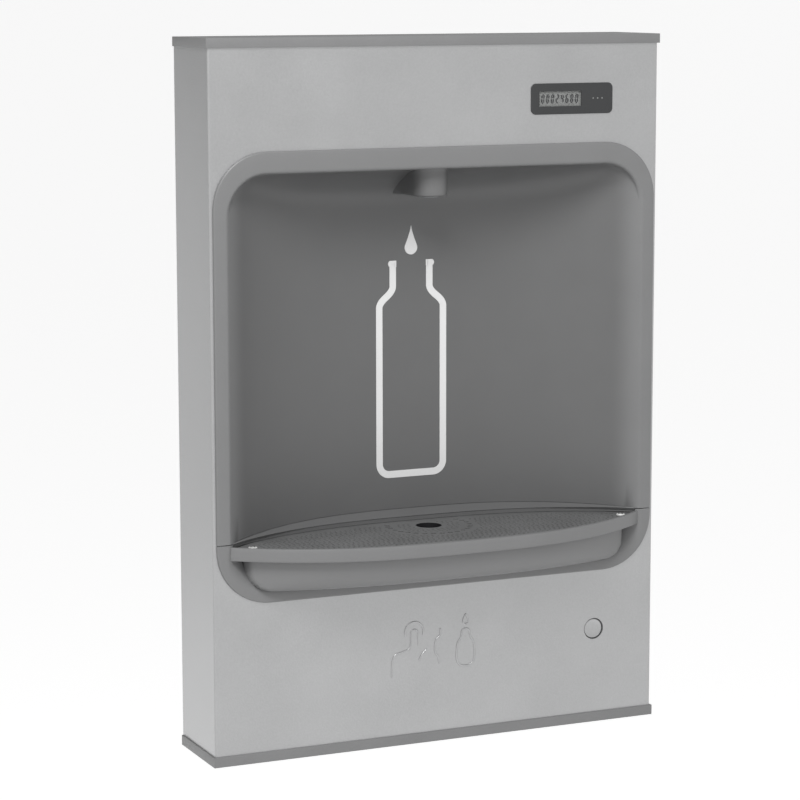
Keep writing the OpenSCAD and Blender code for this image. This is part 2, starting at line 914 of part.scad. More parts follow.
module drain_strainer() color("#c9ccce") from_base() {
    translate([0, drain_y, floor_z])
        difference() {
            union() {
                cylinder(r = strainer_r, h = strainer_t);
                translate([0, 0, -stub_l])
                    cylinder(r = stub_r, h = stub_l + tiny);
            }
            translate([0, 0, -stub_l - tiny])
                cylinder(r = stub_r - stub_wall, h = stub_l);
            for (a = [0 : 60 : 300])
                rotate([0, 0, a])
                    translate([stub_r / 2, 0, -cut])
                        cylinder(r = strainer_hole_r, h = strainer_t + 2 * cut);
            translate([0, 0, -cut])
                cylinder(r = strainer_hole_r, h = strainer_t + 2 * cut);
        }
}

module ring(outer, inner, h, sides) {
    difference() {
        cylinder(r = outer, h = h, $fn = sides);
        translate([0, 0, -tiny])
            cylinder(r = inner, h = h + 2 * tiny);
    }
}

module drain_gasket() color("#232425") from_base() {
    translate([0, drain_y, floor_z - liner_t - gasket_t])
        ring(gasket_r, stub_r + fit, gasket_t, $fn);
}

module drain_locknut() color("#d9dbdc") from_base() {
    translate([0, drain_y, floor_z - liner_t - gasket_t - locknut_h])
        ring(locknut_r, stub_r + fit, locknut_h, 6);
}

module drain_pipe() color("#e4e4e0") from_base() {
    rotate([90, 0, 90])
        bent_tube([[drain_y, floor_z - liner_t - gasket_t - locknut_h], [drain_y, drain_out_h],
            [drain_end, drain_out_h]], drain_r, drain_wall, drain_bend);
}

// ---- counter ----

// Window in the panel for the counter's neck, loose all round
module display_cutout() {
    front_plate(display_x, display_w - 2 * neck_in + loose, display_z - display_h / 2 + neck_in - loose / 2,
        display_z + display_h / 2 - neck_in + loose / 2, display_r - neck_in + loose / 2,
        front_y - tiny, panel_rear_y + tiny);
}

// Plate of the counter, centred on it
module counter_plate(x, w, h, y0, y1) {
    translate([display_x + x - w / 2, y0, display_z - h / 2])
        cube([w, y1 - y0, h]);
}

module at_lights() {
    for (i = [0 : light_count - 1])
        translate([display_x + light_x0 + i * light_pitch, 0, display_z])
            children();
}

module display_frame() color("#2d2f31") from_base() {
    difference() {
        union() {
            front_plate(display_x, display_w, display_z - display_h / 2, display_z + display_h / 2, display_r,
                front_y - display_proud, front_y);
            front_plate(display_x, display_w - 2 * neck_in, display_z - display_h / 2 + neck_in,
                display_z + display_h / 2 - neck_in, display_r - neck_in, front_y - tiny, panel_rear_y);
        }
        counter_plate(lcd_shift, lcd_w, lcd_h, front_y - far, 0);
        counter_plate(lcd_shift, lcd_w + 2 * lcd_edge, lcd_h + 2 * lcd_edge, front_y, 0);
        at_lights()
            y_rod(light_r + fit, front_y - far, 0, 0, 0);
    }
}

module display_lens() color("#dfe6ea", 0.4) from_base() {
    counter_plate(lcd_shift, lcd_w + 2 * lcd_edge, lcd_h + 2 * lcd_edge, front_y, front_y + lens_t);
}

module lcd_panel() color("#a9b0a4") from_base() {
    counter_plate(lcd_shift, lcd_w + 2 * lcd_edge, lcd_h + 2 * lcd_edge, front_y + lens_t,
        front_y + lens_t + lcd_t);
}

module display_board() color("#2f6b45") from_base() {
    counter_plate(0, display_w - 2 * neck_in, display_h - 2 * neck_in, front_y + lens_t + lcd_t,
        front_y + lens_t + lcd_t + board_t);
}

module indicator_lights() color("#dfe8d8") from_base() {
    at_lights()
        y_rod(light_r, front_y - display_proud, front_y + lens_t + lcd_t, 0, 0);
}

module display_housing() color("#3a3c3e") from_base() {
    difference() {
        counter_plate(0, display_w - 2 * housing_in, display_h - 2 * housing_in, panel_rear_y,
            panel_rear_y + housing_d);
        counter_plate(0, display_w - 2 * (housing_in + housing_t), display_h - 2 * (housing_in + housing_t),
            panel_rear_y - cut, panel_rear_y + housing_d - housing_t);
    }
}

module battery_holder() color("#35373a") from_base() {
    difference() {
        translate([holder_x - holder_w / 2, plate_y - holder_d, display_z - holder_h / 2])
            cube([holder_w, holder_d, holder_h]);
        translate([holder_x - holder_w / 2 + holder_t, plate_y - holder_d - cut,
            display_z - holder_h / 2 + holder_t])
            cube([holder_w - 2 * holder_t, holder_d - holder_t + cut, holder_h - 2 * holder_t]);
    }
}

module battery_cells() color("#c8b04c") from_base() {
    for (i = [0 : cell_count - 1])
        x_rod(cell_d / 2, holder_x - cell_l / 2, holder_x + cell_l / 2, plate_y - holder_t - cell_d / 2,
            display_z + (i - (cell_count - 1) / 2) * cell_pitch);
}

// ---- push button ----

module button_cap() color("#b4b7b9") from_base() {
    difference() {
        union() {
            y_rod(button_r, button_y0, button_y1, valve_x, button_h);
            y_rod(collar_r, button_y1, button_y1 + collar_t, valve_x, button_h);
        }
        y_rod(rod_r, rod_y0, button_y1 + collar_t + cut, valve_x, button_h);
    }
}

module button_bush() color("#2b2d2f") from_base() {
    difference() {
        union() {
            y_rod(bush_flange_r, panel_rear_y, panel_rear_y + bush_flange_t, valve_x, button_h);
            y_rod(bush_r, panel_rear_y, bush_y1, valve_x, button_h);
        }
        y_rod(button_r + 2 * fit, panel_rear_y - cut, bush_y1 + cut, valve_x, button_h);
    }
}

module push_rod() color("#c9ccce") from_base() y_rod(rod_r, rod_y0, rod_y1, valve_x, button_h);

module return_spring() color("#d0d2d3") from_base() {
    coil(spring_r, spring_wire, spring_turns, button_y1 + collar_t, bonnet_y, valve_x, button_h);
}

// ---- valve ----

module valve_body() color("#c4a45a") from_base() {
    difference() {
        union() {
            translate([valve_x - valve_s / 2, valve_y0, button_h - valve_s / 2])
                cube(valve_s);
            translate([valve_x, water_y, button_h + valve_s / 2])
                cylinder(r = port_r, h = port_l);
            x_rod(port_r, valve_x - valve_s / 2 - port_l, valve_x - valve_s / 2, water_y, button_h);
        }
        y_rod(chamber_r, valve_y0 - cut, chamber_end, valve_x, button_h);
        translate([valve_x, water_y, button_h])
            cylinder(r = water_r, h = valve_s);
        x_rod(water_r, valve_x - valve_s, valve_x, water_y, button_h);
    }
}

module valve_bonnet() color("#b08f45") from_base() {
    difference() {
        union() {
            y_hex(bonnet_r, bonnet_y, valve_y0, valve_x, button_h);
            y_rod(chamber_r, valve_y0, valve_y0 + bonnet_plug, valve_x, button_h);
        }
        y_rod(rod_r + fit, bonnet_y - cut, valve_y0 + bonnet_plug + cut, valve_x, button_h);
    }
}

module valve_stem() color("#c9ccce") from_base() {
    y_rod(rod_r, rod_y1, poppet_y, valve_x, button_h);
    y_rod(poppet_r, poppet_y, poppet_y + poppet_t, valve_x, button_h);
}

module valve_spring() color("#d0d2d3") from_base() {
    coil(valve_spring_r, spring_wire, valve_spring_turns, poppet_y + poppet_t, chamber_end,
        valve_x, button_h);
}

module valve_bracket() color("#8f9498") from_base() {
    difference() {
        translate([valve_x - valve_s / 2, valve_y1, button_h - valve_s / 2])
            cube([valve_s, plate_y - valve_y1, valve_s]);
        translate([valve_x - valve_s / 2 + 2 * plate_t, valve_y1 + 2 * plate_t, button_h - valve_s])
            cube([valve_s - 4 * plate_t, body_d, 2 * valve_s]);
    }
}

// ---- flow sensor ----

module flow_sensor_body() color("#35373a") from_base() {
    difference() {
        union() {
            y_rod(sensor_r, sensor_y0, sensor_y1, sensor_x, button_h);
            x_rod(port_r, sensor_x - sensor_reach, sensor_x + sensor_reach, water_y, button_h);
            y_rod(sensor_post_r, sensor_y1, plate_y, sensor_x, button_h);
        }
        y_rod(sensor_chamber_r, sensor_y0 - cut, sensor_y1 - sensor_floor, sensor_x, button_h);
        y_rod(axle_r, sensor_y0, sensor_y1 - sensor_floor + axle_seat, sensor_x, button_h);
        x_rod(water_r, sensor_x - sensor_reach - cut, sensor_x + sensor_reach + cut, water_y, button_h);
    }
}

module flow_sensor_cover() color("#5b5e61") from_base() {
    difference() {
        y_rod(sensor_r, sensor_y0 - sensor_lid, sensor_y0, sensor_x, button_h);
        y_rod(axle_r, sensor_y0 - axle_seat, sensor_y0 + cut, sensor_x, button_h);
    }
}

module flow_rotor() color("#e6e6e4") from_base() {
    y0 = sensor_y0 + rotor_gap;
    y1 = sensor_y1 - sensor_floor - rotor_gap;
    difference() {
        union() {
            y_rod(rotor_hub_r, y0, y1, sensor_x, button_h);
            for (k = [0 : rotor_blades / 2 - 1])
                translate([sensor_x, y0, button_h])
                    rotate([0, k * 360 / rotor_blades, 0])
                        translate([-rotor_r, 0, -rotor_blade_t / 2])
                            cube([2 * rotor_r, y1 - y0, rotor_blade_t]);
        }
        y_rod(axle_r + fit, y0 - cut, y1 + cut, sensor_x, button_h);
    }
}

module rotor_axle() color("#c9ccce") from_base() {
    y_rod(axle_r, sensor_y0 - axle_seat, sensor_y1 - sensor_floor + axle_seat, sensor_x, button_h);
}

front_wrapper();
back_plate();
top_cap();
bottom_cap();
top_cap_screws();
bottom_cap_screws();
alcove_liner();
liner_clips();
basin();
basin_clips();
grille();
grille_screws();
bottle_mark();
drop_mark();
nozzle();
nozzle_seal();
nozzle_nut();
spout_tube();
tube_elbow();
riser_tube();
tube_clips();
tube_nuts();
link_tube();
inlet_tube();
drain_strainer();
drain_gasket();
drain_locknut();
drain_pipe();
display_frame();
display_lens();
lcd_panel();
display_board();
display_housing();
indicator_lights();
battery_holder();
battery_cells();
button_cap();
button_bush();
push_rod();
return_spring();
valve_body();
valve_bonnet();
valve_stem();
valve_spring();
valve_bracket();
flow_sensor_body();
flow_sensor_cover();
flow_rotor();
rotor_axle();
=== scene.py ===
"""Wall-hung bottle filling fountain: shaped pieces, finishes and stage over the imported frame."""

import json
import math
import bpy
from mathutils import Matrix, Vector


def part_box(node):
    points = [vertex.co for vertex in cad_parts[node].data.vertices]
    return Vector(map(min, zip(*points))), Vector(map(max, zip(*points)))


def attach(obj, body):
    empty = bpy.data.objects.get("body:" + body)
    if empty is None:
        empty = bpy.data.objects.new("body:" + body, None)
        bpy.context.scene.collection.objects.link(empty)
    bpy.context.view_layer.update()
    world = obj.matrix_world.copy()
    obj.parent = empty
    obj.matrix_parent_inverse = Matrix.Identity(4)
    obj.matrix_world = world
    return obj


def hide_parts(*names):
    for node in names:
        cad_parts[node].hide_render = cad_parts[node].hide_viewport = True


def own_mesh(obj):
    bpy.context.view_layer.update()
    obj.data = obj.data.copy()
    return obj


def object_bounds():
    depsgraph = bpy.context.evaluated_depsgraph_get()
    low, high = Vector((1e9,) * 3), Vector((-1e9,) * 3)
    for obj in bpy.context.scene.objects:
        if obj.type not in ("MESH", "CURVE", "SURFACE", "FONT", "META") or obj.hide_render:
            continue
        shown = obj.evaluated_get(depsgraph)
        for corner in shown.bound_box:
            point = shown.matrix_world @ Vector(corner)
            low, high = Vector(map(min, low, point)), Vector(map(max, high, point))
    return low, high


bl_info = {
    "name": "Bottle Filling Fountain",
    "version": (1, 0, 0),
    "blender": (4, 5, 0),
    "location": "View3D > Sidebar > Fountain",
    "description": "Builds a wall-hung drinking fountain with its alcove, basin, counter and push button",
    "category": "Add Mesh",
}

import bmesh
import bpy
from bpy.props import FloatProperty, FloatVectorProperty, IntProperty, PointerProperty, StringProperty
from mathutils import Vector

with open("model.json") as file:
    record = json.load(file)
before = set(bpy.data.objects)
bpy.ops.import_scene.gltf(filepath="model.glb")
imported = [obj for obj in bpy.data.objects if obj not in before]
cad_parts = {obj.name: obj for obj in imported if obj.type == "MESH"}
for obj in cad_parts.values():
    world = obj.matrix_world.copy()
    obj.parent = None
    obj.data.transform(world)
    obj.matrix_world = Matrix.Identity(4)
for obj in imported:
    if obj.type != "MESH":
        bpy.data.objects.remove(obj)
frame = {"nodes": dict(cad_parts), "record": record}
CAD_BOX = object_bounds()

MM = 0.001
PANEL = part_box("front_wrapper")[0][1]
BASE = CAD_BOX[0][2]
BOW_POWER = 2.7


# ---- sizes and colours that a user may change ----


def length(name, about, metres):
    return FloatProperty(name=name, description=about, default=metres, unit="LENGTH", subtype="DISTANCE")


def colour(name, about, value):
    return FloatVectorProperty(name=name, description=about, default=value, size=3, subtype="COLOR", min=0, max=1)


class CabinetSizes(bpy.types.PropertyGroup):
    fold: length("Fold radius", "Outside radius of the wrapper's folds", 0.0022)
    sheet: length("Sheet", "Thickness of the stainless wrapper", 0.0012)
    cap_edge: length("Cap edge", "Rounding of the caps' edges", 0.0007)
    relief: length("Relief", "How far the pictogram stands out of the panel", 0.0008)


class AlcoveSizes(bpy.types.PropertyGroup):
    roll: length("Rolled edge", "Radius of the edge between the bezel and the alcove", 0.004)
    cove: length("Cove", "Height of the curve between the alcove's wall and ceiling", 0.040)
    foot: length("Foot cove", "Height of the small curve at the wall's foot", 0.0054)
    wall: length("Wall", "Thickness of the moulding", 0.0024)
    line: length("Mark line", "Width of the bottle mark's line", 0.0068)


class BasinSizes(bpy.types.PropertyGroup):
    lip_edge: length("Lip edge", "Rounding of the lip's edges", 0.0011)
    hole: length("Hole radius", "Radius of the grille's small holes", 0.0012)
    pitch: length("Hole pitch", "Spacing of the grille's small holes", 0.0050)
    big_hole: length("Ring hole radius", "Radius of the holes around the stream hole", 0.0027)


class CounterSettings(bpy.types.PropertyGroup):
    reading: StringProperty(name="Reading", description="Digits on the bottle counter", default="00024680")
    slant: FloatProperty(name="Slant", description="Lean of the digits", default=math.radians(5), subtype="ANGLE")
    turns: IntProperty(name="Spring turns", description="Turns of the push button's spring", default=7, min=3)


class FinishColours(bpy.types.PropertyGroup):
    stainless: colour("Stainless", "Wrapper's satin stainless steel", (0.405, 0.407, 0.41))
    moulding: colour("Moulding", "Grey alcove and basin", (0.150, 0.151, 0.152))
    cap: colour("Caps", "Grey caps at the top and bottom", (0.155, 0.156, 0.157))
    grille: colour("Grille", "Dark grille", (0.118, 0.119, 0.120))
    mark: colour("Marks", "White marks on the alcove wall", (0.60, 0.60, 0.60))


class StageSettings(bpy.types.PropertyGroup):
    lens: FloatProperty(name="Lens", description="Focal length in millimetres", default=124.16, min=20)
    floor_drop: length("Floor drop", "Height of the fountain's underside above the floor", 0.9)


SETTINGS = {
    "fountain_cabinet": CabinetSizes,
    "fountain_alcove": AlcoveSizes,
    "fountain_basin": BasinSizes,
    "fountain_counter": CounterSettings,
    "fountain_colours": FinishColours,
    "fountain_stage": StageSettings,
}


# ---- mesh tools ----


def spot(x, depth, z):
    """Point in metres from millimetres to the right, behind the front panel, and above the underside."""
    return (x * MM, PANEL + depth * MM, BASE + z * MM)


def bow(u):
    """1 in the middle and 0 at both ends."""
    return 1 - min(1.0, abs(u)) ** BOW_POWER


def spread(start, end, steps):
    return [start + (end - start) * i / steps for i in range(steps + 1)]


def arc(cx, cz, r, start, end, steps):
    return [(cx + r * math.cos(math.radians(a)), cz + r * math.sin(math.radians(a))) for a in spread(start, end, steps)]


def rounded_box(cx, cz, w, h, r, steps=8):
    """Outline of a rounded rectangle, counterclockwise from the right side's foot."""
    x, z = w / 2 - r, h / 2 - r
    corners = [(x, -z, -90), (x, z, 0), (-x, z, 90), (-x, -z, 180)]
    return [p for ax, az, a in corners for p in arc(cx + ax, cz + az, r, a, a + 90, steps)]


class Shape:
    """Points in millimetres and faces, gathered before they become a mesh."""

    def __init__(self):
        self.points = []
        self.faces = []

    def loft(self, rings, closed=True, caps=True, looped=False):
        """Skins rings of equal length; looped joins the last ring to the first."""
        start, n, m = len(self.points), len(rings[0]), len(rings)
        for ring in rings:
            self.points.extend(ring)
        for i in range(m if looped else m - 1):
            a, b = start + i * n, start + (i + 1) % m * n
            for j in range(n if closed else n - 1):
                k = (j + 1) % n
                self.faces.append((a + j, a + k, b + k, b + j))
        if closed and caps and not looped:
            self.faces.append(tuple(start + j for j in reversed(range(n))))
            self.faces.append(tuple(start + (m - 1) * n + j for j in range(n)))
        return self

    def block(self, x0, x1, d0, d1, z0, z1):
        ring = [(x0, d0), (x1, d0), (x1, d1), (x0, d1)]
        return self.loft([[(x, d, z) for x, d in ring] for z in (z0, z1)])

    def prism(self, outline, d0, d1):
        return self.loft([[(x, d, z) for x, z in outline] for d in (d0, d1)])

    def turned(self, profile, centre, axis, sides=64):
        """Profile of (radius, place) turned about the depth or height axis through centre (x, depth, z)."""
        rings = []
        for r, t in profile:
            ring = []
            for j in range(sides):
                a = 2 * math.pi * j / sides
                u, v = r * math.cos(a), r * math.sin(a)
                ring.append((centre[0] + u, t, centre[2] + v) if axis == "depth" else (centre[0] + u, centre[1] + v, t))
            rings.append(ring)
        return self.loft(rings)

    def bead(self, path, r, rise, closed):
        """Raised bead along a path of (x, z) on the front panel."""
        rings = []
        n = len(path)
        for i, (x, z) in enumerate(path):
            before = path[i - 1] if closed else path[max(0, i - 1)]
            after = path[(i + 1) % n] if closed else path[min(n - 1, i + 1)]
            way = Vector((after[0] - before[0], after[1] - before[1])).normalized()
            size = 1 if closed or 0 < i < n - 1 else 0.55
            ring = []
            for j in range(10):
                a = 2 * math.pi * j / 10
                side, out = r * size * math.cos(a), rise * size * math.sin(a)
                ring.append((x - way.y * side, -out, z + way.x * side))
            rings.append(ring)
        return self.loft(rings, looped=closed)

    def mesh(self, name, tidy=True):
        mesh = bpy.data.meshes.new(name)
        mesh.from_pydata([spot(*p) for p in self.points], [], self.faces)
        bm = bmesh.new()
        bm.from_mesh(mesh)
        bmesh.ops.remove_doubles(bm, verts=bm.verts, dist=3e-6)
        bmesh.ops.dissolve_degenerate(bm, edges=bm.edges, dist=1e-6)
        if tidy:
            bmesh.ops.recalc_face_normals(bm, faces=bm.faces)
        bm.to_mesh(mesh)
        bm.free()
        return mesh

    def object(self, name, tidy=True):
        return new_object(name, self.mesh(name, tidy))


def new_object(name, mesh):
    obj = bpy.data.objects.new(name, mesh)
    bpy.context.scene.collection.objects.link(obj)
    return obj


def bake(obj):
    """Turns the modifiers' result into the object's own mesh."""
    bpy.context.view_layer.update()
    mesh = bpy.data.meshes.new_from_object(obj.evaluated_get(bpy.context.evaluated_depsgraph_get()))
    obj.modifiers.clear()
    obj.data = mesh
    if not len(mesh.polygons):
        raise RuntimeError(obj.name + " came out empty")
    return obj


def add_modifier(obj, kind, **values):
    modifier = obj.modifiers.new(kind.title(), kind)
    for key, value in values.items():
        setattr(modifier, key, value)
    return modifier


def bevel(obj, width, segments=3, angle=35):
    add_modifier(obj, "BEVEL", width=width, segments=segments, limit_method="ANGLE", angle_limit=math.radians(angle))
    return bake(obj)


def cut_out(obj, cutter):
    """Takes the cutter's shape out of obj and removes the cutter."""
    add_modifier(obj, "BOOLEAN", operation="DIFFERENCE", solver="EXACT", object=cutter)
    bake(obj)
    bpy.data.objects.remove(cutter)
    return obj


def joined(name, parts):
    """One object with the meshes of several, which are removed."""
    bm = bmesh.new()
    for part in parts:
        bm.from_mesh(part.data)
        bpy.data.objects.remove(part)
    mesh = bpy.data.meshes.new(name)
    bm.to_mesh(mesh)
    bm.free()
    return new_object(name, mesh)


def plain_copy(name, node):
    """Welded copy of a CAD node, with flat faces merged."""
    bm = bmesh.new()
    bm.from_mesh(frame["nodes"][node].data)
    bmesh.ops.remove_doubles(bm, verts=bm.verts, dist=2e-6)
    bmesh.ops.dissolve_limit(bm, angle_limit=math.radians(1), verts=bm.verts, edges=bm.edges)
    bm.verts.ensure_lookup_table()
    points = [v.co.copy() for v in bm.verts]
    faces = [[v.index for v in f.verts] for f in bm.faces]
    bm.free()
    mesh = bpy.data.meshes.new(name)
    mesh.from_pydata(points, [], faces)
    return new_object(name, mesh)


def complete(obj, slot, nodes=(), body="cabinet", angle=35):
    """Shades a finished piece, gives it its finish, and ties it to its body and CAD nodes."""
    for polygon in obj.data.polygons:
        polygon.use_smooth = True
    obj.data.set_sharp_from_angle(angle=math.radians(angle))
    obj.data.materials.clear()
    obj.data.materials.append(finish_for(slot))
    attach(obj, body)
    if nodes:
        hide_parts(*nodes)
    return obj


# ---- finishes ----

# slot: (colour, metallic, roughness, colour variation, roughness variation, grain size per metre, relief, options)
FINISHES = {
    "stainless": (None, 0.85, 0.36, 0.035, 0.06, 520, 0.00016, {}),
    "zinc_plate": ((0.50, 0.52, 0.53), 1.0, 0.42, 0.16, 0.14, 90, 0.00003, {}),
    "grey_cap": (None, 0.0, 0.45, 0.03, 0.06, 900, 0.00002, {}),
    "screw_steel": ((0.90, 0.90, 0.89), 0.5, 0.30, 0.04, 0.08, 1200, 0.00001, {}),
    "clip_steel": ((0.60, 0.61, 0.62), 1.0, 0.38, 0.08, 0.10, 400, 0.00002, {}),
    # Painted shade: the moulding's last option darkens its colour with depth behind the front panel, in place of the
    # shade inside the alcove and the basin's recess
    "grey_moulding": (None, 0.0, 0.44, 0.02, 0.05, 1100, 0.00002, {"Inner Shade": 0.66}),
    "dark_grille": (None, 0.0, 0.48, 0.10, 0.10, 800, 0.00003, {}),
    "white_mark": (None, 0.0, 0.35, 0.02, 0.05, 700, 0.00001, {}),
    "nozzle_plastic": ((0.26, 0.265, 0.27), 0.0, 0.40, 0.04, 0.08, 900, 0.00002, {}),
    # Near-black rubber; kept this dark partly as painted shade, so the stream sleeve reads as the dark inside of the
    # stream hole
    "seal_rubber": ((0.008, 0.008, 0.009), 0.0, 0.75, 0.12, 0.10, 1300, 0.00004, {"Specular IOR Level": 0.1}),
    "brass": ((0.72, 0.54, 0.27), 1.0, 0.30, 0.09, 0.12, 500, 0.00001, {}),
    "copper_tube": ((0.78, 0.43, 0.28), 1.0, 0.32, 0.14, 0.16, 120, 0.00001, {}),
    "black_plastic": ((0.045, 0.046, 0.048), 0.0, 0.50, 0.10, 0.10, 1100, 0.00003, {}),
    "cover_plastic": ((0.16, 0.16, 0.165), 0.0, 0.46, 0.06, 0.08, 1000, 0.00003, {}),
    "drain_steel": ((0.66, 0.67, 0.68), 1.0, 0.30, 0.06, 0.10, 450, 0.00001, {}),
    "drain_plastic": ((0.78, 0.78, 0.75), 0.0, 0.36, 0.03, 0.08, 300, 0.00002, {}),
    "counter_frame": ((0.022, 0.023, 0.024), 0.0, 0.32, 0.05, 0.06, 1200, 0.00001, {}),
    "counter_glass": ((0.060, 0.062, 0.062), 0.0, 0.08, 0.01, 0.03, 200, 0.0, {"Alpha": 0.12}),
    "lcd": ((0.25, 0.255, 0.25), 0.0, 0.40, 0.03, 0.05, 2500, 0.0, {}),
    "board_green": ((0.03, 0.16, 0.08), 0.0, 0.40, 0.14, 0.10, 700, 0.00002, {}),
    "light_plastic": ((0.16, 0.165, 0.16), 0.0, 0.30, 0.03, 0.05, 900, 0.0, {}),
    "cell_wrap": ((0.42, 0.30, 0.07), 0.2, 0.30, 0.08, 0.08, 200, 0.00001, {"Coat Weight": 0.4}),
    "button_metal": ((0.40, 0.402, 0.405), 0.85, 0.36, 0.04, 0.10, 700, 0.00002, {}),
    "rod_steel": ((0.72, 0.73, 0.74), 1.0, 0.22, 0.05, 0.10, 900, 0.00001, {}),
    "spring_steel": ((0.66, 0.67, 0.68), 1.0, 0.26, 0.08, 0.10, 800, 0.00001, {}),
    "rotor_plastic": ((0.76, 0.76, 0.74), 0.0, 0.42, 0.03, 0.08, 800, 0.00001, {}),
}
CHOSEN = {
    "stainless": "stainless",
    "grey_cap": "cap",
    "grey_moulding": "moulding",
    "dark_grille": "grille",
    "white_mark": "mark",
}


class Nodes:
    """Small helper that adds and links the nodes of one material."""

    def __init__(self, material):
        material.use_nodes = True
        self.tree = material.node_tree
        self.tree.nodes.clear()

    def add(self, kind, links=(), **values):
        node = self.tree.nodes.new(kind)
        for key, value in values.items():
            if key in node.inputs:
                node.inputs[key].default_value = value
            else:
                setattr(node, key, value)
        for source, target in links:
            self.tree.links.new(source, node.inputs[target])
        return node


def finish_for(slot):
    name = "finish_" + slot
    if name in bpy.data.materials:
        return bpy.data.materials[name]
    tint, metallic, rough, hue_var, rough_var, grain, relief, options = FINISHES[slot]
    options = dict(options)
    inner = options.pop("Inner Shade", None)
    if tint is None:
        tint = getattr(bpy.context.scene.fountain_colours, CHOSEN[slot])
    material = bpy.data.materials.new(name)
    n = Nodes(material)
    place = n.add("ShaderNodeTexCoord")
    fine = n.add("ShaderNodeTexNoise", [(place.outputs["Object"], "Vector")], Scale=grain, Detail=3.0, Roughness=0.6)
    broad = n.add("ShaderNodeTexNoise", [(place.outputs["Object"], "Vector")], Scale=grain / 40, Detail=4.0)
    both = n.add("ShaderNodeMix", [(fine.outputs["Fac"], "A"), (broad.outputs["Fac"], "B")], Factor=0.5)
    dark = [c * (1 - 2 * hue_var) for c in tint] + [1]
    light = [min(1, c * (1 + 2 * hue_var)) for c in tint] + [1]
    ramp = n.add("ShaderNodeValToRGB", [(both.outputs["Result"], "Fac")])
    ramp.color_ramp.elements[0].position = 0.3
    ramp.color_ramp.elements[0].color = dark
    ramp.color_ramp.elements[1].position = 0.7
    ramp.color_ramp.elements[1].color = light
    gloss = n.add("ShaderNodeMapRange", [(both.outputs["Result"], "Value")])
    gloss.inputs["From Min"].default_value = 0.3
    gloss.inputs["From Max"].default_value = 0.7
    gloss.inputs["To Min"].default_value = max(0.02, rough - rough_var)
    gloss.inputs["To Max"].default_value = min(1, rough + rough_var)
    base = ramp.outputs["Color"]
    # Painted shade: the colour is scaled down with depth, from full 1 mm in front of the panel to the given factor 16
    # mm behind it, standing in for the shade in the alcove and the basin's recess
    if inner is not None:
        parts = n.add("ShaderNodeSeparateXYZ", [(place.outputs["Object"], "Vector")])
        recess_shade_factor = n.add("ShaderNodeMapRange", [(parts.outputs["Y"], "Value")], interpolation_type="SMOOTHSTEP")
        for key, value in zip(("From Min", "From Max", "To Min", "To Max"), (PANEL - 0.001, PANEL + 0.016, 1.0, inner)):
            recess_shade_factor.inputs[key].default_value = value
        recess_shaded_colour = n.add("ShaderNodeVectorMath", [(base, 0), (recess_shade_factor.outputs["Result"], "Scale")], operation="SCALE")
        base = recess_shaded_colour.outputs["Vector"]
    shader = n.add("ShaderNodeBsdfPrincipled", [(base, "Base Color"), (gloss.outputs["Result"], "Roughness")],
                   Metallic=metallic, **options)
    if relief:
        bump = n.add("ShaderNodeBump", [(fine.outputs["Fac"], "Height")], Distance=relief, Strength=1.0)
        n.tree.links.new(bump.outputs["Normal"], shader.inputs["Normal"])
    n.add("ShaderNodeOutputMaterial", [(shader.outputs["BSDF"], "Surface")])
    material.diffuse_color = list(tint) + [1]
    return material


# ---- repeated features ----


def node_tree(name, inputs):
    """Empty geometry tree with a geometry input and output and the named inputs."""
    tree = bpy.data.node_groups.new(name, "GeometryNodeTree")
    tree.interface.new_socket("Geometry", in_out="INPUT", socket_type="NodeSocketGeometry")
    tree.interface.new_socket("Geometry", in_out="OUTPUT", socket_type="NodeSocketGeometry")
    for label, kind in inputs:
        tree.interface.new_socket(label, in_out="INPUT", socket_type=kind)
    source, target = tree.nodes.new("NodeGroupInput"), tree.nodes.new("NodeGroupOutput")
    return tree, source, target


def run_tree(obj, tree, values):
    """Runs a geometry tree on obj with its inputs set by identifier, and keeps the result as a mesh."""
    modifier = obj.modifiers.new(tree.name, "NODES")
    modifier.node_group = tree
    for item in tree.interface.items_tree:
        if item.in_out == "INPUT" and item.name in values:
            modifier[item.identifier] = values[item.name]
    obj.update_tag()
    return bake(obj)


def perforation_tree():
    """Cuts an eight-sided hole at each point, as wide as the point's own size."""
    tree, source, target = node_tree("Perforate", [
        ("Hole Centres", "NodeSocketObject"), ("Depth", "NodeSocketFloat"), ("Material", "NodeSocketMaterial")])
    add, link = tree.nodes.new, tree.links.new
    info, hole = add("GeometryNodeObjectInfo"), add("GeometryNodeMeshCylinder")
    place = add("GeometryNodeInstanceOnPoints")
    size, scale = add("GeometryNodeInputNamedAttribute"), add("ShaderNodeCombineXYZ")
    real = add("GeometryNodeRealizeInstances")
    cut, coat = add("GeometryNodeMeshBoolean"), add("GeometryNodeSetMaterial")
    hole.inputs["Vertices"].default_value = 8
    hole.inputs["Radius"].default_value = 1
    size.data_type = "FLOAT"
    size.inputs["Name"].default_value = "hole_radius"
    scale.inputs["Z"].default_value = 1
    cut.operation = "DIFFERENCE"
    link(source.outputs["Hole Centres"], info.inputs["Object"])
    link(source.outputs["Depth"], hole.inputs["Depth"])
    link(info.outputs["Geometry"], place.inputs["Points"])
    link(hole.outputs["Mesh"], place.inputs["Instance"])
    link(size.outputs["Attribute"], scale.inputs["X"])
    link(size.outputs["Attribute"], scale.inputs["Y"])
    link(scale.outputs["Vector"], place.inputs["Scale"])
    link(place.outputs["Instances"], real.inputs["Geometry"])
    link(source.outputs["Geometry"], cut.inputs["Mesh 1"])
    link(real.outputs["Geometry"], cut.inputs["Mesh 2"])
    link(cut.outputs["Mesh"], coat.inputs["Geometry"])
    link(source.outputs["Material"], coat.inputs["Material"])
    link(coat.outputs["Geometry"], target.inputs["Geometry"])
    return tree


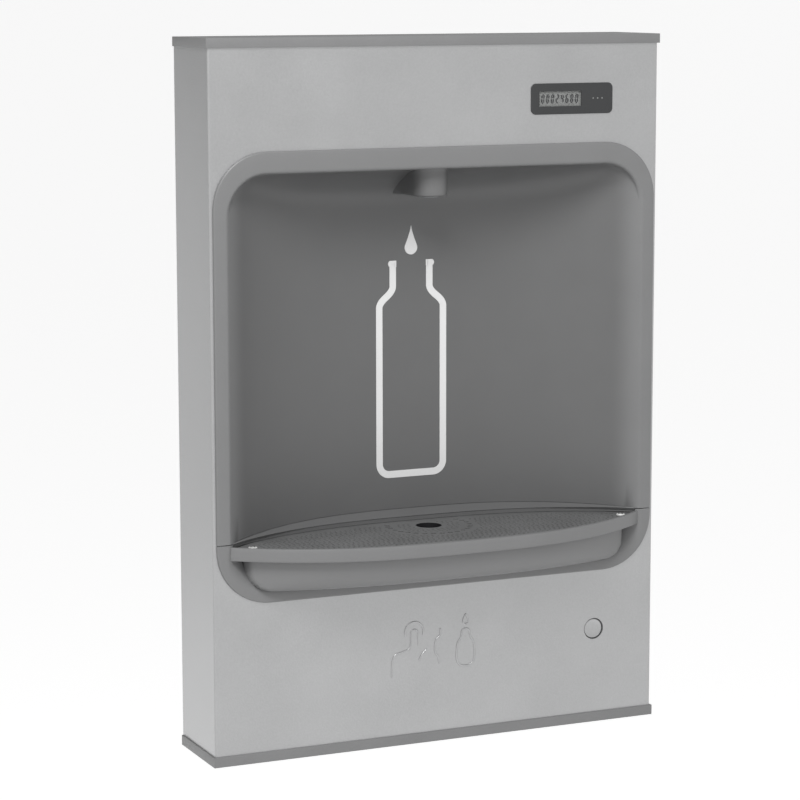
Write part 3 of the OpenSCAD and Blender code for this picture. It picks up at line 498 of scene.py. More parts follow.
def copies_tree():
    """Puts a copy of one object at each point."""
    tree, source, target = node_tree("Place copies", [("Copy", "NodeSocketObject"), ("Material", "NodeSocketMaterial")])
    add, link = tree.nodes.new, tree.links.new
    info, place = add("GeometryNodeObjectInfo"), add("GeometryNodeInstanceOnPoints")
    real, coat = add("GeometryNodeRealizeInstances"), add("GeometryNodeSetMaterial")
    link(source.outputs["Copy"], info.inputs["Object"])
    link(source.outputs["Geometry"], place.inputs["Points"])
    link(info.outputs["Geometry"], place.inputs["Instance"])
    link(place.outputs["Instances"], real.inputs["Geometry"])
    link(real.outputs["Geometry"], coat.inputs["Geometry"])
    link(source.outputs["Material"], coat.inputs["Material"])
    link(coat.outputs["Geometry"], target.inputs["Geometry"])
    return tree


def points_object(name, places):
    """Loose points in metres."""
    mesh = bpy.data.meshes.new(name)
    mesh.from_pydata([Vector(p) for p in places], [], [])
    return new_object(name, mesh)


def screw(shank_r, head_r, head_h, shank_l, up):
    """Pan-head screw with a hexagonal recess, origin under the head, head towards up (1 or -1) in height."""
    def ring(r, h, hexagonal=False):
        out = []
        for j in range(24):
            a = 2 * math.pi * j / 24
            from_flat = math.cos((a + math.pi / 6) % (math.pi / 3) - math.pi / 6)
            reach = r * math.cos(math.pi / 6) / from_flat if hexagonal else r
            out.append((reach * math.cos(a), reach * math.sin(a), up * h))
        return out
    recess = head_r * 0.42
    rings = [ring(0.001, head_h * 0.35), ring(recess, head_h * 0.35, True), ring(recess, head_h, True),
             ring(head_r * 0.62, head_h), ring(head_r * 0.88, head_h * 0.86), ring(head_r, head_h * 0.45),
             ring(head_r, 0), ring(shank_r, 0), ring(shank_r, -shank_l + shank_r * 0.6),
             ring(shank_r * 0.6, -shank_l)]
    shape = Shape().loft(rings)
    mesh = bpy.data.meshes.new("screw")
    mesh.from_pydata([Vector(p) * MM for p in shape.points], [], shape.faces)
    bm = bmesh.new()
    bm.from_mesh(mesh)
    bmesh.ops.remove_doubles(bm, verts=bm.verts, dist=1e-7)
    bmesh.ops.recalc_face_normals(bm, faces=bm.faces)
    bm.to_mesh(mesh)
    bm.free()
    return new_object("screw", mesh)


# ---- shapes of the alcove and basin ----

SEAM = 207.0
SEAM_GAP = 0.4
ALCOVE_HALF = 208.0
ALCOVE_TOP = 541.5
ALCOVE_DEPTH = 66.0
CORNER_X = 171.8
CORNER_R = 36.2
CORNER_Z = ALCOVE_TOP - CORNER_R
BEZEL_HALF = 223.8
BEZEL_TOP = 562.0
BEZEL_FOOT = 150.0
BEZEL_R = 52.0
BEZEL_PROUD = 2.5
BEZEL_EDGE = 1.5
BASIN_HALF = 212.0
BASIN_R = 40.2
FLOOR = 165.0
UNDERSIDE = 162.0
LIP_FOOT = 192.0
LIP_TOP = 204.5
LIP_REACH = 62.0
LIP_WALL = 4.0
GRILLE_FOOT = 200.5
GRILLE_TOP = 203.0
GRILLE_HALF = 207.4
GRILLE_FRONT = 57.4
GRILLE_BACK = 65.4
SPOUT_DEPTH = 26.0
HOOD_HALF = 17.0
HOOD_FOOT = 515.0
HOOD_EDGE = 2.4


def alcove_columns():
    ends = [CORNER_X + CORNER_R * math.sin(math.radians(a)) for a in range(8, 89, 8)] + [ALCOVE_HALF]
    return [-x for x in reversed(ends)] + spread(-CORNER_X, CORNER_X, 26) + ends


def alcove_top(x):
    over = abs(x) - CORNER_X
    return ALCOVE_TOP if over <= 0 else CORNER_Z + math.sqrt(max(0, CORNER_R ** 2 - over ** 2))


def wall_depth(x):
    return ALCOVE_DEPTH * bow(x / ALCOVE_HALF)


def front_depth(x):
    """Depth at which the ceiling starts to roll out to the bezel."""
    d = wall_depth(x)
    return 1.5 * d / (d + 3)


def alcove_column(x, cove, foot):
    """Section of the alcove at x, from the seam up the wall and forward along the ceiling."""
    d, top, start = wall_depth(x), alcove_top(x), front_depth(x)
    k = d / ALCOVE_DEPTH
    low = SEAM + SEAM_GAP
    rise, run = foot * k, 2 * foot * k
    high = top - cove * math.sqrt(k)
    points = [(x, d - run * (1 - t), low + rise * t) for t in spread(0, 1, 3)]
    groove = 0.55 * min(1, k * 8)
    points += [(x, d + groove, low + rise + 0.3), (x, d, low + rise + 0.6)]
    points += [(x, d, z) for z in spread(low + rise + 0.6, high, 12)[1:]]
    points += [(x, start + (d - start) * math.cos(a), high + (top - high) * math.sin(a))
               for a in spread(0, math.pi / 2, 12)[1:]]
    return points


def bezel_stations():
    """Stations from the left foot over the top to the right foot.

    Each is (x, z, depth, outward x, outward z, outer x, outer z).
    """
    side = []
    low = SEAM + SEAM_GAP
    outer_corner = BEZEL_TOP - BEZEL_R
    for z in [low, low + 0.3] + spread(low + 0.6, CORNER_Z, 12):
        outer = low + (z - low) * (outer_corner - low) / (CORNER_Z - low)
        side.append((ALCOVE_HALF, z, 0.0, 1.0, 0.0, BEZEL_HALF, outer))
    top = []
    for x in alcove_columns():
        over = abs(x) - CORNER_X
        way = math.copysign(1, x)
        if over <= 0:
            top.append((x, ALCOVE_TOP, front_depth(x), 0.0, 1.0, x, BEZEL_TOP))
        else:
            nx, nz = way * over / CORNER_R, (alcove_top(x) - CORNER_Z) / CORNER_R
            top.append((x, alcove_top(x), front_depth(x), nx, nz,
                        way * CORNER_X + BEZEL_R * nx, outer_corner + BEZEL_R * nz))
    left = [(-x, z, d, -nx, nz, -ox, oz) for x, z, d, nx, nz, ox, oz in side]
    return left[:-1] + top + side[-2::-1]


def bezel_rows(station, roll):
    """Section at one station, from the alcove's edge over the roll and the face to the panel."""
    x, z, depth, nx, nz, ox, oz = station
    w = wall_depth(x)
    w = w / (w + 3)
    a = Vector((x, z, depth))
    out = Vector((nx, nz, 0))
    b = Vector((x, z, -BEZEL_PROUD)) + out * roll
    c = Vector((x, z, -BEZEL_PROUD)) + out * 2.9 * (1 - w)
    points = []
    for t in spread(0, 1, 7):
        points.append(a * (1 - t) ** 2 + c * 2 * t * (1 - t) + b * t * t)
    outer = Vector((ox, oz, 0))
    points.append((b + outer + Vector((0, 0, -BEZEL_PROUD)) - out * BEZEL_EDGE) / 2)
    for t in spread(0, math.pi / 2, 4):
        points.append(outer - out * BEZEL_EDGE * (1 - math.sin(t))
                      + Vector((0, 0, -BEZEL_PROUD + BEZEL_EDGE * (1 - math.cos(t)))))
    points.append(outer + Vector((0, 0, -0.05)))
    return [(p.x, p.z, p.y) for p in points]


def hood_outline(offset, back):
    """Plan of the nozzle hood as (x, depth), rounded at the front."""
    r = 15.5
    cx, cd = HOOD_HALF - r, 9.0 + r
    side = [(HOOD_HALF + offset + 7 * max(0, (d - 42) / 25) ** 2, d) for d in spread(back, cd, 9)]
    front = [(cx + (r + offset) * math.cos(a), cd - (r + offset) * math.sin(a)) for a in spread(0, math.pi / 2, 10)[1:]]
    right = side + front
    return right + [(-x, d) for x, d in reversed(right)]


def hood_shape(shape):
    def ring(offset, z, back=ALCOVE_DEPTH + 1):
        return [(x, d, z) for x, d in hood_outline(offset, back)]

    def bore(z, r=7.1):
        out = []
        for x, d in hood_outline(0, ALCOVE_DEPTH + 1):
            a = math.atan2(d - SPOUT_DEPTH, x)
            out.append((r * math.cos(a), SPOUT_DEPTH + r * math.sin(a), z))
        return out

    rings = [ring(2.4, 542.4), ring(1.1, 541.3), ring(0.35, 540.0), ring(0, 538)]
    rings += [ring(0, z) for z in spread(538, HOOD_FOOT + HOOD_EDGE, 6)[1:]]
    rings += [ring(-HOOD_EDGE * (1 - math.cos(a)), HOOD_FOOT + HOOD_EDGE * (1 - math.sin(a)))
              for a in spread(0, math.pi / 2, 4)[1:]]
    rings += [bore(HOOD_FOOT), bore(HOOD_FOOT + 3), ring(-3, HOOD_FOOT + 3, 54), ring(-3, 541.8, 54)]
    return shape.loft(rings, looped=True)


def basin_foot(x):
    """Height of the opening's lower edge at x."""
    over = abs(x) - CORNER_X
    return FLOOR if over <= 0 else FLOOR + BASIN_R - math.sqrt(max(0, BASIN_R ** 2 - over ** 2))


def bowl_depth(x, t):
    """Depth of the bowl's front at x, where t is 0 at its foot and 1 under the lip."""
    curve = 1 - math.sqrt(1 - (1 - t) ** 2)
    return -(53 - 26 * curve) * bow(x / (199 - 4 * curve))


def skin_depth(x, t):
    """Depth of the basin's front at x: the bowl, its rounded sides, and the recess between it and the bezel."""
    curve = 1 - math.sqrt(1 - max(0, 1 - t / 0.6) ** 2)
    side = abs(x) - (194 - 19 * curve)
    recess = 10 if abs(x) < 204 else 10 - 0.8 * (abs(x) - 204)
    ease = min(1, max(0, side / 5 + 0.5))
    ease = ease * ease * (3 - 2 * ease)
    return bowl_depth(x, t) * (1 - ease) + recess * ease


def basin_section(x, edge):
    """Closed section of the basin at x, as points of (depth, z)."""
    rear = ALCOVE_DEPTH * bow(x / BASIN_HALF)
    lip = LIP_REACH * bow(x / BASIN_HALF)
    inner_lip = (LIP_REACH - LIP_WALL) * bow(x / (BASIN_HALF - LIP_WALL))
    e = edge * min(1, lip / 5)
    low = max(UNDERSIDE, basin_foot(x) - 3)
    floor = FLOOR + 1 if abs(x) < 176 else max(FLOOR + 1, basin_foot(x) + 1.5)
    floor = GRILLE_FOOT if abs(x) > 203 else min(floor, GRILLE_FOOT)
    top = SEAM - SEAM_GAP
    back = max(rear, skin_depth(x, 0)) + 4
    points = [(back, top), (back, low), (skin_depth(x, 0), low)]
    steps = [1 - math.cos(a) for a in spread(0, math.pi / 2, 14)]
    for t in steps:
        points.append((skin_depth(x, t), max(low, UNDERSIDE + 30 * t)))
    lip_foot = max(LIP_FOOT, low)
    points += [(-lip + e, lip_foot), (-lip + 0.3 * e, lip_foot + 0.3 * e), (-lip, lip_foot + e)]
    points += [(-lip, z) for z in spread(lip_foot + e, LIP_TOP - e, 3)[1:]]
    points += [(-lip + 0.3 * e, LIP_TOP - 0.3 * e), (-lip + e, LIP_TOP),
               (-inner_lip, LIP_TOP), (-inner_lip, GRILLE_FOOT)]
    for t in reversed(steps[2:]):
        points.append((skin_depth(x, t) + 3, min(GRILLE_FOOT, max(floor, UNDERSIDE + 30 * t))))
    ledge = max(skin_depth(x, 0) + 3, rear - 5)
    points += [(ledge, floor), (ledge, GRILLE_FOOT), (rear, GRILLE_FOOT), (rear, GRILLE_TOP + 0.3),
               (rear * (1 - 11 / ALCOVE_DEPTH), GRILLE_TOP + 0.3), (rear * (1 - 11 / ALCOVE_DEPTH), top)]
    return points


def lower_bezel_stations():
    """Stations of the lower bezel from the left seam under the bowl to the right seam."""
    low = SEAM - SEAM_GAP
    half = []
    inner_c, outer_c = FLOOR + BASIN_R, BEZEL_FOOT + BEZEL_R
    half.append((BASIN_HALF, low, 1.0, 0.0, BEZEL_HALF, low))
    for a in spread(0, 90, 14):
        nx, nz = math.cos(math.radians(a)), -math.sin(math.radians(a))
        half.append((CORNER_X + BASIN_R * nx, inner_c + BASIN_R * nz, nx, nz,
                     CORNER_X + BEZEL_R * nx, outer_c + BEZEL_R * nz))
    half += [(x, FLOOR, 0.0, -1.0, x, BEZEL_FOOT) for x in spread(CORNER_X, 0, 12)[1:]]
    left = [(-x, z, -nx, nz, -ox, oz) for x, z, nx, nz, ox, oz in half]
    return left[:-1] + half[::-1]


def lower_bezel_section(station, roll):
    x, z, nx, nz, ox, oz = station
    out, outer = Vector((nx, nz, 0)), Vector((ox, oz, 0))
    sunk = min(1, max(0, (LIP_TOP - z) / 17))
    edge = Vector((x, z, -BEZEL_PROUD))
    inner = edge.lerp(Vector((ox, oz, -BEZEL_PROUD)), 0.5 * sunk)
    reach, fall = 2 + 12 * nx * nx, 2 + 6.5 * nx * nx
    points = [outer + Vector((0, 0, -0.05))]
    for t in spread(math.pi / 2, 0, 4):
        points.append(outer - out * BEZEL_EDGE * (1 - math.sin(t))
                      + Vector((0, 0, -BEZEL_PROUD + BEZEL_EDGE * (1 - math.cos(t)))))
    rolled = edge - out * roll + Vector((0, 0, BEZEL_PROUD - 0.02))
    fallen = edge - out * reach + Vector((0, 0, fall + BEZEL_PROUD))
    end = rolled.lerp(fallen, sunk)
    mid = (edge - out * (roll - 2.9)).lerp(edge + out * 2, sunk)
    for t in spread(0, 1, 6):
        points.append(inner * (1 - t) ** 2 + mid * 2 * t * (1 - t) + end * t * t)
    return [(p.x, p.z, p.y) for p in points]


# ---- operators ----


class Piece:
    """Shared part of the operators."""

    bl_options = {"REGISTER", "UNDO"}

    def execute(self, context):
        self.build(context.scene)
        return {"FINISHED"}


class FOUNTAIN_OT_cabinet(Piece, bpy.types.Operator):
    """Folded stainless wrapper with its openings, and the raised pictogram"""

    bl_idname = "fountain.cabinet"
    bl_label = "Cabinet wrapper"

    def build(self, scene):
        s = scene.fountain_cabinet
        lo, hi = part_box("front_wrapper")
        half, depth = hi[0] / MM, (hi[1] - PANEL) / MM
        z0, z1 = (lo[2] - BASE) / MM, (hi[2] - BASE) / MM
        r, t = s.fold / MM, s.sheet / MM

        def path(inset):
            corner = [(half - r + (r - inset) * math.cos(a), r - (r - inset) * math.sin(a))
                      for a in spread(0, math.pi / 2, 6)]
            right = [(half - inset, depth)] + corner
            return right + [(-x, d) for x, d in reversed(right)]

        ring = list(zip(path(0), path(t)))
        shape = Shape()
        rings = [[(ox, od, z0), (ox, od, z1), (ix, id_, z1), (ix, id_, z0)] for (ox, od), (ix, id_) in ring]
        shell = shape.loft(rings).object("wrapper")
        cutters = Shape().prism(rounded_box(0, 355.25, 2 * 216, 388.5, 44.2, 12), -5, 5)
        dx, dz = display_centre()
        cutters.prism(rounded_box(dx, dz, 78, 21.2, 1.2, 4), -5, 5)
        bx, bz = button_centre()
        cutters.prism(arc(bx, bz, 10.35, 0, 360 - 7.5, 47), -5, 5)
        cut_out(shell, cutters.object("openings"))
        rims = Shape()
        for low in (z0, z1 - t):
            rims.block(-half + r, half - r, t * 0.5, 20, low, low + t)
        wrapper = joined("cabinet_wrapper", [shell, rims.object("rims")])
        complete(wrapper, "stainless", ["front_wrapper"], angle=30)
        complete(pictogram(s.relief / MM).object("raised_pictogram"), "stainless", angle=60)


def display_centre():
    lo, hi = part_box("display_frame")
    return (lo[0] + hi[0]) / 2 / MM, ((lo[2] + hi[2]) / 2 - BASE) / MM


def button_centre():
    lo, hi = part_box("button_cap")
    return (lo[0] + hi[0]) / 2 / MM, ((lo[2] + hi[2]) / 2 - BASE) / MM


def smooth_path(points, rounds=2, closed=True):
    """Rounds the corners of a path by cutting them."""
    for _ in range(rounds):
        out = [] if closed else [points[0]]
        n = len(points)
        for i in range(n if closed else n - 1):
            (ax, az), (bx, bz) = points[i], points[(i + 1) % n]
            out += [(ax * 0.75 + bx * 0.25, az * 0.75 + bz * 0.25), (ax * 0.25 + bx * 0.75, az * 0.25 + bz * 0.75)]
        points = out if closed else out + [points[-1]]
    return points


def pictogram(rise):
    """Raised hand that presses, an arrow, a bottle and a drop."""
    shape = Shape()
    w = 0.85
    shape.bead(arc(-27, 108, 9.5, -25, 205, 20), w, rise, False)
    tip = arc(-26.8, 106.5, 3.6, 0, 180, 10)
    back = smooth_path([(-30.4, 106.5), (-30.4, 92), (-38, 90), (-50, 87), (-50, 66)], 3, False)
    shape.bead([(-23.2, 95)] + tip + back[1:], w, rise, False)
    shape.bead(smooth_path([(-22, 80), (-19, 86), (-14, 90)], 2, False), w, rise, False)
    shape.bead(smooth_path([(0, 109), (0, 101), (-5, 99), (-6, 86), (-2, 82), (-1, 75)], 2, False), w, rise, False)
    bottle = [(17, 70), (36, 70), (36, 92), (31, 98), (30.5, 106), (22.5, 106), (22, 98), (17, 92)]
    shape.bead(smooth_path(bottle), w, rise, True)
    drop = [(26.5, 110), (29.5, 112), (29, 115), (26.8, 120), (26.2, 120), (24, 115), (23.5, 112)]
    shape.bead(smooth_path(drop), 0.75, rise, True)
    return shape


class FOUNTAIN_OT_caps(Piece, bpy.types.Operator):
    """Caps at the top and bottom, with softened edges"""

    bl_idname = "fountain.caps"
    bl_label = "Caps"

    def build(self, scene):
        for node in ("top_cap", "bottom_cap"):
            cap = bevel(plain_copy(node + "_soft", node), scene.fountain_cabinet.cap_edge)
            complete(cap, "grey_cap", [node])


class FOUNTAIN_OT_alcove(Piece, bpy.types.Operator):
    """Bowed alcove with its coves, rolled edge, bezel and nozzle hood"""

    bl_idname = "fountain.alcove"
    bl_label = "Alcove"

    def build(self, scene):
        s = scene.fountain_alcove
        columns = [alcove_column(x, s.cove / MM, s.foot / MM) for x in alcove_columns()]
        shape = Shape().loft(columns, closed=False)
        opening = {i for i, p in enumerate(shape.points) if abs(p[0]) < 13.5 and p[2] > 520 and 12 < p[1] < 56}
        shape.faces = [f for f in shape.faces if not all(i in opening for i in f)]
        shape.loft([bezel_rows(station, s.roll / MM) for station in bezel_stations()], closed=False)
        shell = shape.object("shell", tidy=False)
        bm = bmesh.new()
        bm.from_mesh(shell.data)
        bmesh.ops.recalc_face_normals(bm, faces=bm.faces)
        bm.faces.ensure_lookup_table()
        middle = min(bm.faces, key=lambda f: (f.calc_center_median() - Vector(spot(0, ALCOVE_DEPTH, 350))).length)
        if middle.normal.y > 0:
            bmesh.ops.reverse_faces(bm, faces=bm.faces)
        bm.to_mesh(shell.data)
        bm.free()
        add_modifier(shell, "SOLIDIFY", thickness=s.wall, offset=-1.0)
        bake(shell)
        hood = hood_shape(Shape()).object("hood")
        complete(joined("alcove_moulding", [shell, hood]), "grey_moulding", ["alcove_liner"], angle=40)


class FOUNTAIN_OT_basin(Piece, bpy.types.Operator):
    """Drip basin with its bowed lip, pillow-shaped bowl and lower bezel"""

    bl_idname = "fountain.basin"
    bl_label = "Drip basin"

    def build(self, scene):
        ends = [174, 176, 179, 182, 185, 188, 190.5, 193, 195, 197,
                199, 201, 203, 203.5, 205, 207, 208.5, 210, 211, 212]
        xs = [-x for x in reversed(ends)] + spread(-CORNER_X, CORNER_X, 40) + ends
        edge = scene.fountain_basin.lip_edge / MM
        tray = Shape().loft([[(x, d, z) for d, z in basin_section(x, edge)] for x in xs]).object("tray")
        dx, dd = 0, (sum(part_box("drain_strainer")[i][1] for i in (0, 1)) / 2 - PANEL) / MM
        r = 14.6
        hole = Shape().loft([[(dx + x, dd + y, z) for x, y in arc(0, 0, r, 0, 352.5, 47)] for z in (150, 180)])
        cut_out(tray, hole.object("drain_hole"))
        roll = scene.fountain_alcove.roll / MM
        bezel = Shape().loft([lower_bezel_section(s, roll) for s in lower_bezel_stations()]).object("bezel")
        complete(joined("drip_basin", [tray, bezel]), "grey_moulding", ["basin"], angle=40)


# Radii around the stream hole in millimetres: the hole itself, the ring of larger holes,
# the small holes inside that ring, and where they start again outside it
STREAM_HOLE = 12.35
HOLE_RING = 39.5
RING_INSIDE = (16.5, 31)
RING_OUTSIDE = 48


def row_shift(row):
    """Sideways shift of a row of holes, from 0 to 1 pitch, that follows no visible order."""
    return math.sin(12.9898 * row) * 43758.5453 % 1


class FOUNTAIN_OT_grille(Piece, bpy.types.Operator):
    """Perforated grille with a ring of larger holes around the stream hole"""

    bl_idname = "fountain.grille"
    bl_label = "Grille"

    def build(self, scene):
        s = scene.fountain_basin

        def outline(inset):
            xs = [GRILLE_HALF * math.sin(a) for a in spread(-math.pi / 2, math.pi / 2, 60)]
            k = (GRILLE_HALF - inset) / GRILLE_HALF
            front = [(x * k, -(GRILLE_FRONT - inset) * bow(x / GRILLE_HALF)) for x in xs]
            back = [(x * k, (GRILLE_BACK - inset) * bow(x / GRILLE_HALF)) for x in reversed(xs[1:-1])]
            return front + back

        rings = [[(x, d, z) for x, d in outline(inset)] for inset, z in
                 ((0.5, GRILLE_FOOT), (0, GRILLE_FOOT + 0.4), (0, GRILLE_TOP - 0.7),
                   (0.25, GRILLE_TOP - 0.2), (0.8, GRILLE_TOP))]
        plate = Shape().loft(rings).object("perforated_grille")
        places, sizes = [], []
        pitch = s.pitch / MM
        row = pitch * 0.78
        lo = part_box("grille_screws")
        screw_x = lo[1][0] / MM - 4.2
        for j in range(-20, 21):
            d = j * row
            for i in range(-45, 46):
                x = (i + row_shift(j)) * pitch
                room = bow(x / GRILLE_HALF) * (GRILLE_FRONT - 5 if d < 0 else GRILLE_BACK - 20) - 3
                from_spout = math.hypot(x, d - SPOUT_DEPTH)
                near_screw = math.hypot(abs(x) - screw_x, d + 4) < 8
                if abs(d) < room and not near_screw and (from_spout > RING_OUTSIDE or RING_INSIDE[0] < from_spout < RING_INSIDE[1]):
                    places.append(spot(x, d, (GRILLE_FOOT + GRILLE_TOP) / 2))
                    sizes.append(s.hole)
        for a in range(0, 360, 12):
            x, d = HOLE_RING * math.cos(math.radians(a)), SPOUT_DEPTH + HOLE_RING * math.sin(math.radians(a))
            if d < GRILLE_BACK - 18:
                places.append(spot(x, d, (GRILLE_FOOT + GRILLE_TOP) / 2))
                sizes.append(s.big_hole)
        spots = points_object("hole_centres", places)
        spots.data.attributes.new("hole_radius", "FLOAT", "POINT").data.foreach_set("value", sizes)
        material = finish_for("dark_grille")
        run_tree(plate, perforation_tree(), {"Hole Centres": spots, "Depth": 0.02, "Material": material})
        bpy.data.objects.remove(spots)
        big = Shape()
        for x, d, r in ((0, SPOUT_DEPTH, STREAM_HOLE), (screw_x, -4, 1.85), (-screw_x, -4, 1.85)):
            big.loft([[(x + u, d + v, z) for u, v in arc(0, 0, r, 0, 352.5, 47)] for z in (190, 210)])
        cut_out(plate, big.object("big_holes"))
        # The sleeve's near-black rubber is partly painted shade: it keeps the inside of the stream hole dark
        collar = [(8.0, 193.0), (11.6, 203.05), (12.3, 203.05), (12.3, 200.6), (8.6, 193.0)]
        rim_ring = Shape().loft([[(u, SPOUT_DEPTH + v, z) for u, v in arc(0, 0, r, 0, 354, 59)]
                                 for r, z in collar], looped=True)
        complete(plate, "dark_grille", ["grille"])
        complete(rim_ring.object("stream_sleeve"), "seal_rubber")


class FOUNTAIN_OT_marks(Piece, bpy.types.Operator):
    """White bottle outline and drop printed on the bowed wall"""

    bl_idname = "fountain.marks"
    bl_label = "Marks"

    def build(self, scene):
        line = scene.fountain_alcove.line / MM

        def on_wall(x, z, lift):
            return (x, wall_depth(x) - lift, z)

        centre = bottle_path(line / 2)
        dense = []
        for (ax, az), (bx, bz) in zip(centre, centre[1:]):
            steps = max(1, int(math.hypot(bx - ax, bz - az) / 4))
            dense += [(ax + (bx - ax) * i / steps, az + (bz - az) * i / steps) for i in range(steps)]
        dense.append(centre[-1])
        rings = []
        for i, (x, z) in enumerate(dense):
            a, b = dense[max(0, i - 1)], dense[min(len(dense) - 1, i + 1)]
            way = Vector((b[0] - a[0], b[1] - a[1])).normalized()
            nx, nz = -way.y * line / 2, way.x * line / 2
            rings.append([on_wall(x + nx, z + nz, 0), on_wall(x + nx * 0.97, z + nz * 0.97, 0.3),
                          on_wall(x - nx * 0.97, z - nz * 0.97, 0.3), on_wall(x - nx, z - nz, 0)])
        shape = Shape().loft(rings)
        for side in (-1, 1):
            lip = [(-4, 445.5), (2.0, 445.5), (3.8, 446.3), (4.6, 448.5), (3.8, 450.7), (2.0, 451.5), (-4, 451.5)]
            x0 = 19.35
            shape.loft([[on_wall(side * (x0 + x), z, lift) for x, z in lip] for lift in (0, 0.3)])
        complete(shape.object("bottle_outline"), "white_mark", ["bottle_mark"])
        rings = []
        for z, half in drop_widths():
            rings.append([on_wall(half, z, 0), on_wall(half * 0.95, z, 0.3),
                          on_wall(-half * 0.95, z, 0.3), on_wall(-half, z, 0)])
        complete(Shape().loft(rings).object("water_drop"), "white_mark", ["drop_mark"])


def bottle_path(inset):
    """Centre line of the bottle outline, open at its mouth, as (x, z)."""
    half, neck, foot, r = 36.6 - inset, 22.4 - inset, 243.5 + inset, 12 - inset / 2
    right = arc(half - r, foot + r, r, -90, 0, 10)
    right += [(half, z) for z in spread(foot + r, 401, 8)[1:]]
    right += smooth_path([(half, 402), (half, 411.5), (neck, 422.5), (neck, 432)], 4, False)[1:]
    right += [(neck, z) for z in spread(432, 451.5, 4)[1:]]
    return [(-x, z) for x, z in reversed(right)] + right


def drop_widths():
    """Heights and half widths of the drop, from its foot to its tip."""
    rows = []
    for a in spread(-85, 20, 12):
        rows.append((463.3 + 6.6 * math.sin(math.radians(a)), 6.6 * math.cos(math.radians(a))))
    z0, w0 = rows[-1]
    for t in spread(0, 1, 8)[1:]:
        rows.append((z0 + (484.1 - z0) * t, max(0.12, w0 * (1 - t) ** 1.25)))
    return rows


class FOUNTAIN_OT_counter(Piece, bpy.types.Operator):
    """Bottle counter: frame, window and generic digits"""

    bl_idname = "fountain.counter"
    bl_label = "Bottle counter"

    def build(self, scene):
        s = scene.fountain_counter
        complete(bevel(plain_copy("counter_bezel", "display_frame"), 0.00035), "counter_frame", ["display_frame"])
        lo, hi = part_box("display_lens")
        cx, cz = (lo[0] + hi[0]) / 2 / MM, ((lo[2] + hi[2]) / 2 - BASE) / MM
        w, h = (hi[0] - lo[0]) / MM, (hi[2] - lo[2]) / MM
        window = Shape().prism(rounded_box(cx, cz, w - 0.2, h - 0.2, 0.4, 3), 0.05, 0.55).object("counter_window")
        complete(window, "counter_glass", ["display_lens"])
        shape = Shape()
        count = len(s.reading)
        pitch = 40.5 / count
        tall, wide, stroke = 8.8, pitch * 0.66, 1.35
        lean = math.tan(s.slant)
        for i, digit in enumerate(s.reading):
            x0 = cx - pitch * (count - 1) / 2 + i * pitch
            for segment in SEGMENTS[digit]:
                outline = segment_outline(segment, wide, tall, stroke)
                shape.prism([(x0 + x + lean * z, cz + z) for x, z in outline], 0.62, 0.9)
        complete(shape.object("counter_digits"), "black_plastic", angle=30)


# Segments of each digit: top, middle and foot bars, then the upper and lower uprights
SEGMENTS = {
    "0": "tfabcd", "1": "bd", "2": "tmfbc", "3": "tmfbd", "4": "mabd",
    "5": "tmfad", "6": "tmfacd", "7": "tbd", "8": "tmfabcd", "9": "tmfabd",
}


def segment_outline(segment, wide, tall, stroke):
    """Six-sided outline of one segment; a and b are the upper uprights, c and d the lower ones."""
    g = stroke / 2
    if segment in "tmf":
        z = {"t": tall / 2 - g, "m": 0, "f": -tall / 2 + g}[segment]
        a = wide / 2 - g - 0.1
        return [(-a, z), (-a + g, z - g), (a - g, z - g), (a, z), (a - g, z + g), (-a + g, z + g)]
    x = -wide / 2 + g if segment in "ac" else wide / 2 - g
    low, high = (0.1, tall / 2 - g - 0.1) if segment in "ab" else (-tall / 2 + g + 0.1, -0.1)
    return [(x, low), (x + g, low + g), (x + g, high - g), (x, high), (x - g, high - g), (x - g, low + g)]


class FOUNTAIN_OT_button(Piece, bpy.types.Operator):
    """Push button with a dished face, and its two springs"""

    bl_idname = "fountain.button"
    bl_label = "Push button and springs"

    def build(self, scene):
        x, z = button_centre()
        centre = (x, 0, z)
        profile = [(0.02, 1.75), (5.6, 1.6), (7.6, 1.3), (8.3, 1.05), (8.9, 1.02), (9.3, 1.25), (9.55, 1.7), (9.6, 2.3),
                   (9.6, 13), (11.6, 13), (11.6, 15), (3.0, 15), (3.0, 7), (0.02, 7)]
        cap = Shape().turned(profile, centre, "depth").object("push_button")
        complete(cap, "button_metal", ["button_cap"], body="button")
        for name, node, joint, turns, end, keep in (
                ("button_spring", "return_spring", "button_push", scene.fountain_counter.turns, -0.050, 17 / 22),
                ("stem_spring", "valve_spring", "stem_push", 5, -0.018, 11 / 16)):
            spring = coil(name, node, turns)
            complete(spring, "spring_steel", [node], angle=60)
            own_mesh(spring)


def coil(name, node, turns):
    """Round wire wound along the depth axis, as long as its CAD node."""
    lo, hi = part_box(node)
    wire = 0.6
    cx, cz = (lo[0] + hi[0]) / 2 / MM, ((lo[2] + hi[2]) / 2 - BASE) / MM
    r = (hi[0] - lo[0]) / 2 / MM - wire
    d0, d1 = (lo[1] - PANEL) / MM + wire, (hi[1] - PANEL) / MM - wire
    steps = turns * 28
    rings = []
    for i in range(steps + 1):
        t = i / steps
        a = 2 * math.pi * turns * t
        d = d0 + (d1 - d0) * t
        ring = []
        for j in range(10):
            b = 2 * math.pi * j / 10
            reach = r + wire * math.cos(b)
            ring.append((cx + reach * math.cos(a), d + wire * math.sin(b), cz + reach * math.sin(a)))
        rings.append(ring)
    return Shape().loft(rings).object(name)


